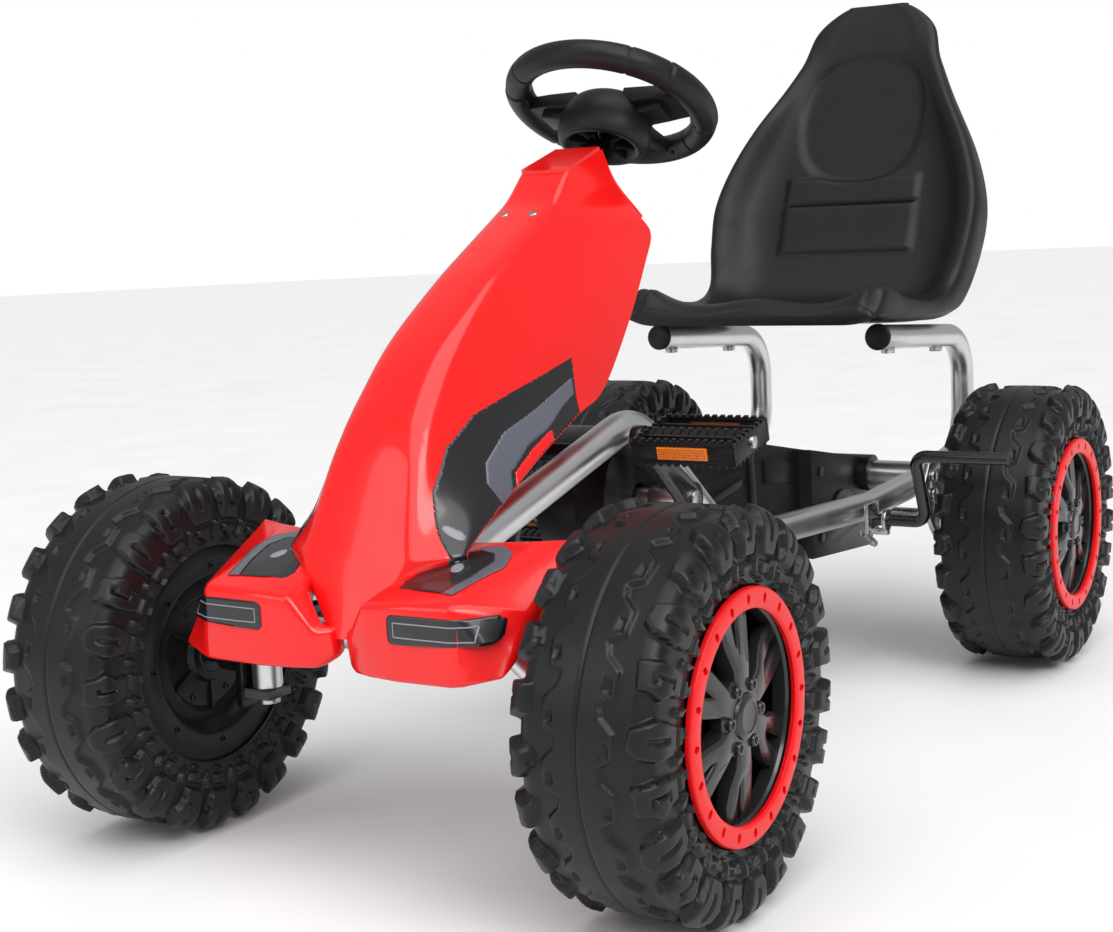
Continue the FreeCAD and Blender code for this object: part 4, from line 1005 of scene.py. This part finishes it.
def hub_shape():
    """Deep pod, hollow below, with two wide side spokes and a forked rear one."""
    shape = bmesh.new()
    outline = [
        (11, -18), (13, -30), (20, -33), (27, -38), (29, -43), (33, -44.5), (37, -42), (39.5, -34),
        (40, -24), (38.5, -13), (35, -5), (29, 1), (21, 4.5), (10, 6), (0.6, 6.3),
    ]
    line = relaxed(resample(outline, 46), 2)
    rings = []
    count = 72
    angle = full_turn(count)
    for radius, height in line:
        wide = radius * (1 + 0.07 * np.cos(2 * angle + math.pi))
        level = np.full(count, height)
        rings.append(np.stack([wide * np.cos(angle), wide * np.sin(angle), level], axis=1))
    verts = add_rings(shape, np.array(rings) * MM)
    shape.faces.new(verts[-count:])
    shape.faces.new(verts[:count][::-1])
    for side in (1, -1):
        def beside(u, v, w):
            sag = 4.0 * smooth_step((58 - v) / 30)
            return (u * MM, side * v * MM, (w - (sag if w < 0 else sag * 0.4)) * MM)

        spoke = [(-19, 24), (-20, 52), (-15, 77), (17, 77), (20, 52), (23, 24)]
        prism(shape, spoke, -9, 3.5, beside)
        prism(shape, [(-8, 36), (-8, 60), (15, 60), (15, 36)], -17, -8, beside)
        prism(shape, [(-14, 40), (-12, 58), (-6, 58), (-6, 40)], 3, 6, beside)
        fork = [(-24, 8), (-46, 9), (-77, 13), (-77, 25), (-50, 19), (-24, 17)]
        prism(shape, [(u, side * v) for u, v in fork], -9, 2.5, in_place)
    slab(shape, (-44, -9, -7), (-24, 9, 0.5))
    slab(shape, (-77, -14, -6), (-68, 14, 1.5))
    for angle in range(0, 360, 45):
        turn = math.radians(angle + 22)
        out = Vector((math.cos(turn), math.sin(turn), 0))
        across = Vector((-out.y, out.x, 0))
        prism(
            shape, [(13, -0.9), (30, -0.9), (30, 0.9), (13, 0.9)], -41.5, -30,
            lambda u, v, w: (out * u + across * v + Vector((0, 0, w))) * MM,
        )
    return shape


stand_in("steering_rim", placed(ring_grid("steering_rim", rim_grid()), COLUMN), 50)
hub_mesh = from_bmesh("steering_hub", hub_shape(), 1.1 * MM, 2, 35)
stand_in("steering_hub", placed(hub_mesh, COLUMN), 38)

# ---- Pedals -------------------------------------------------------------------------------

PEDAL_HALF = 46


def pedal_cage():
    """Open cage with toothed edges, two tread bars, webs and a ribbed boss round the spindle."""
    shape = bmesh.new()
    for side in (1, -1):
        low, high = sorted((side * 28, side * 32))
        slab(shape, (low, -PEDAL_HALF, 5.6), (high, PEDAL_HALF, 9.6))
        slab(shape, (low, -PEDAL_HALF, -9.6), (high, PEDAL_HALF, -5.6))
        for end in (1, -1):
            near, far = sorted((end * 23, end * PEDAL_HALF))
            slab(shape, (low, near, -5.6), (high, far, 5.6))
            if side > 0:
                near, far = sorted((end * 41.5, end * PEDAL_HALF))
                slab(shape, (-28, near, -8.8), (28, far, 8.8))
        slab(shape, (side * 14 - 1.6, -42, -7.5), (side * 14 + 1.6, 42, 8.6))
        slab(shape, (side * 21 - 7, -16, -3), (side * 21 + 7, -13.4, 4))
        slab(shape, (side * 21 - 7, 13.4, -3), (side * 21 + 7, 16, 4))
        for row in range(13):
            y = -42 + row * 7
            for top in (1, -1):
                low_z, high_z = sorted((top * 9.2, top * 11.4))
                slab(shape, (low, y - 1.9, low_z), (high, y + 1.9, high_z))
        for row in range(7):
            x = -24 + row * 8
            low_y, high_y = sorted((side * 42, side * PEDAL_HALF))
            slab(shape, (x - 1.9, low_y, 8.4), (x + 1.9, high_y, 10.8))
            slab(shape, (x - 1.9, low_y, -10.8), (x + 1.9, high_y, -8.4))
    mesh = from_bmesh("cage", shape, 0.5 * MM, 2)
    outline = [(5.9, -45.5), (10, -45.5)]
    for middle in range(-40, 41, 8):
        outline += [
            (8.8, middle - 2.4), (10.4, middle - 1.6), (10.4, middle + 1.6), (8.8, middle + 2.4)
        ]
    outline += [(10, 45.5), (5.9, 45.5)]
    boss = ring_grid("boss", lathe_points(outline, 40))
    return from_bmesh("pedal", bmesh_of(mesh, boss))


def reflector_mesh():
    """Two amber strips, each moulded in rows of small pyramids."""
    shape = bmesh.new()
    for side in (1, -1):
        back, front = side * 30.5, side * 33.4
        low, high = sorted((back, front))
        slab(shape, (low, -22, -5), (high, 22, 5))
        for row in range(5):
            for col in range(22):
                y, z = -22 + col * 2, -5 + row * 2
                base = [(front, y, z), (front, y + 2, z), (front, y + 2, z + 2), (front, y, z + 2)]
                verts = [shape.verts.new(Vector(p) * MM) for p in base]
                tip = shape.verts.new(Vector((front + side * 0.9, y + 1, z + 1)) * MM)
                for a, b in zip(verts, verts[1:] + verts[:1]):
                    shape.faces.new((a, b, tip))
                shape.faces.new(verts[::-1])
    return from_bmesh("reflectors", shape)


for side, side_name in SIDES:
    low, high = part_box(f"pedal_{side_name}")
    where = Matrix.Translation((low + high) / 2) @ Matrix.Rotation(math.radians(12), 4, "Y")
    stand_in(f"pedal_{side_name}", placed(pedal_cage(), where), 35)
    stand_in(f"pedal_reflectors_{side_name}", placed(reflector_mesh(), where), 0)

# ---- Chain case and the smaller pieces ----------------------------------------------------

CASE_FRONT_FACE = 38
CASE_REAR_FACE = 52
BUSH_FOOT, BUSH_HALF, BUSH_REAR = 0.49, 0.016, 0.132


def ribbed_case(shape):
    """Raised rib, slanted band and pads on the chain case's outer face."""
    for outline, face, rise in (
        ([(104, 190), (-76, 214), (-78, 221), (103, 197)], CASE_FRONT_FACE, 2.2),
        ([(-92, 256), (-104, 254), (-112, 128), (-100, 130)], CASE_FRONT_FACE, 2.4),
        ([(60, 272), (0, 262), (4, 246), (62, 254)], CASE_FRONT_FACE, 1.8),
        ([(-130, 232), (-200, 220), (-200, 200), (-130, 208)], CASE_FRONT_FACE, 1.8),
        (oval((-296, 158), (30, 20), 0.1, 28), CASE_REAR_FACE, 3.0),
        (oval((-296, 158), (19, 11), 0.1, 28), CASE_REAR_FACE, 5.2),
        (oval((-238, 205), (5, 5)), CASE_REAR_FACE, 2.0),
        (oval((-238, 135), (5, 5)), CASE_REAR_FACE, 2.0),
        (oval((-20, 268), (5, 5)), CASE_FRONT_FACE, 2.0),
        (oval((20, 180), (5, 5)), CASE_FRONT_FACE, 2.0),
    ):
        prism(shape, outline, face - 1.5, face + rise, lambda u, v, w: Vector((u, w, v)) * MM)


def trimmed_bush(shape):
    """Keeps the top bearing's cross bar inside the cowl's head."""
    for vert in shape.verts:
        if vert.co.z > BUSH_FOOT and abs(vert.co.y) > BUSH_HALF:
            vert.co.y = math.copysign(BUSH_HALF, vert.co.y)
            vert.co.x = max(vert.co.x, BUSH_REAR)


EXTRAS = {"chain_case_left": ribbed_case, "column_bushes": trimmed_bush}
for node, bevel, angle in (
    ("crank_arm_left", 1.6, 32), ("crank_arm_right", 1.6, 32), ("pitman_arm", 0.8, 32),
    ("knuckle_left", 0.9, 32), ("knuckle_right", 0.9, 32), ("kingpins", 0.8, 32),
    ("tie_rod_left", 0.7, 32), ("tie_rod_right", 0.7, 32), ("bracket_bolts", 0.6, 32),
    ("rear_bracket_left", 0.7, 40), ("rear_bracket_right", 0.7, 40), ("seat_bolts", 0.8, 32),
    ("seat_tube_caps", 1.2, 32), ("crank_axle", 1.0, 40), ("rear_axle", 1.0, 40),
    ("rear_axle_collars", 0.8, 40), ("axle_bearings", 0.7, 40), ("crank_hangers", 0.9, 40),
    ("brake_bracket", 0.8, 35), ("pedal_spindles", 0.5, 40), ("column_bushes", 0.8, 40),
    ("chain_case_right", 2.4, 32), ("chain_case_left", 2.4, 32), ("rear_sprocket", 0.4, 40),
    ("chainwheel", 0.4, 40), ("steering_shaft", 0.8, 40),
):
    refined(node, bevel * MM, 2 if bevel < 2 else 3, angle, extra=EXTRAS.get(node))

# ---- Brake spring -------------------------------------------------------------------------


def coil_mesh(start, end, turns, radius, wire):
    """A coil spring of round wire with a straight tail at each end."""
    start, end = np.array(start, float), np.array(end, float)
    axis = (end - start) / np.linalg.norm(end - start)
    beside = np.cross(axis, [0, 1, 0])
    beside /= np.linalg.norm(beside)
    upward = np.cross(axis, beside)
    share = np.linspace(0, 1, turns * 20)
    coil = np.clip((share - 0.12) / 0.76, 0, 1)
    swing = coil * turns * 2 * math.pi
    reach = radius * smooth_step(np.minimum(share, 1 - share) / 0.12)
    line = start + (end - start) * share[:, None]
    ring = np.cos(swing)[:, None] * beside + np.sin(swing)[:, None] * upward
    line = line + reach[:, None] * ring
    ahead = np.gradient(line, axis=0)
    ahead /= np.linalg.norm(ahead, axis=1)[:, None]
    across = np.cross(ahead, axis + 0.01)
    across /= np.linalg.norm(across, axis=1)[:, None]
    other = np.cross(ahead, across)
    turn = full_turn(8)
    rings = line[:, None] + wire * (
        np.cos(turn)[None, :, None] * across[:, None] + np.sin(turn)[None, :, None] * other[:, None]
    )
    return ring_grid("spring", rings * MM, cap_ends=True)


SPRING_START, SPRING_END = (-213, 106, 150), (-250, 108, 128)
add_object(
    "brake_spring", coil_mesh(SPRING_START, SPRING_END, 9, 3.4, 0.8), "chassis",
    MATERIALS["bright_steel"],
)

# ---- Camera, light and floor --------------------------------------------------------------

FLOOR_RADIUS = 14
FLOOR_DROP = 0.0005
floor_shape = bmesh.new()
bmesh.ops.create_circle(floor_shape, cap_ends=True, segments=128, radius=FLOOR_RADIUS)
floor_mesh = from_bmesh("floor", floor_shape)
floor = linked("floor", floor_mesh)
floor.location.z = -FLOOR_DROP
floor_mesh.materials.append(
    finish_material("floor_pale", (0.93, 0.93, 0.93), 0.55, 300, 0.02, spread=0.01, patch=2)
)

world = bpy.data.worlds.new("studio")
world.use_nodes = True
# The camera sees the world at full strength, while its light on the kart is dimmer.
WORLD_LIGHT = 0.42
backdrop = world.node_tree.nodes["Background"]
set_inputs(backdrop, {"Color": (1, 1, 1, 1)})
seen = world.node_tree.nodes.new("ShaderNodeLightPath")
glow = world.node_tree.nodes.new("ShaderNodeMapRange")
set_inputs(glow, {"To Min": WORLD_LIGHT, "To Max": 1.0})
world.node_tree.links.new(seen.outputs["Is Camera Ray"], glow.inputs["Value"])
world.node_tree.links.new(glow.outputs["Result"], backdrop.inputs["Strength"])
bpy.context.scene.world = world
bpy.context.scene.view_settings.view_transform = "Standard"


def area_light(name, spot, target, size, power):
    data = bpy.data.lights.new(name, "AREA")
    data.shape = "RECTANGLE"
    data.size, data.size_y = size
    data.energy = power
    item = linked(name, data)
    item.location = spot
    item.rotation_mode = "QUATERNION"
    item.rotation_quaternion = (Vector(target) - Vector(spot)).to_track_quat("-Z", "Y")


area_light("key", (1.6, 2.4, 2.2), (0, 0, 0.3), (1.6, 1.2), 28)
area_light("fill", (2.6, -1.2, 1.4), (0.1, 0, 0.3), (1.2, 1.6), 10)
sun_data = bpy.data.lights.new("soft_sun", "SUN")
sun_data.energy = 2.2
sun_data.angle = math.radians(70)
sun = linked("soft_sun", sun_data)
sun.rotation_euler = (math.radians(-18), math.radians(22), 0)

CAMERA_SPOT = (1.47875, 0.80246, 0.48635)
CAMERA_YAW = 3.7011
CAMERA_PITCH = 0.1408
CAMERA_ROLL = -0.0453
CAMERA_LENS, CAMERA_SENSOR = 57.93, 36
forward = Vector((
    math.cos(CAMERA_YAW) * math.cos(CAMERA_PITCH),
    math.sin(CAMERA_YAW) * math.cos(CAMERA_PITCH),
    -math.sin(CAMERA_PITCH),
))
level_right = Vector((math.sin(CAMERA_YAW), -math.cos(CAMERA_YAW), 0))
level_up = level_right.cross(forward)
right = level_right * math.cos(CAMERA_ROLL) + level_up * math.sin(CAMERA_ROLL)
up = level_up * math.cos(CAMERA_ROLL) - level_right * math.sin(CAMERA_ROLL)
camera_data = bpy.data.cameras.new("camera")
camera_data.lens = CAMERA_LENS
camera_data.sensor_width = CAMERA_SENSOR
camera_data.clip_start = 0.05
camera = linked("camera", camera_data)
camera.matrix_world = Matrix.Translation(CAMERA_SPOT) @ Matrix((
    (right.x, up.x, -forward.x),
    (right.y, up.y, -forward.y),
    (right.z, up.z, -forward.z),
)).to_4x4()
bpy.context.scene.camera = camera

# ---- Materials of the CAD nodes ------------------------------------------------------------

for node, item in frame["nodes"].items():
    item.data.materials.clear()
    item.data.materials.append(MATERIALS[NODE_SLOT[node]])
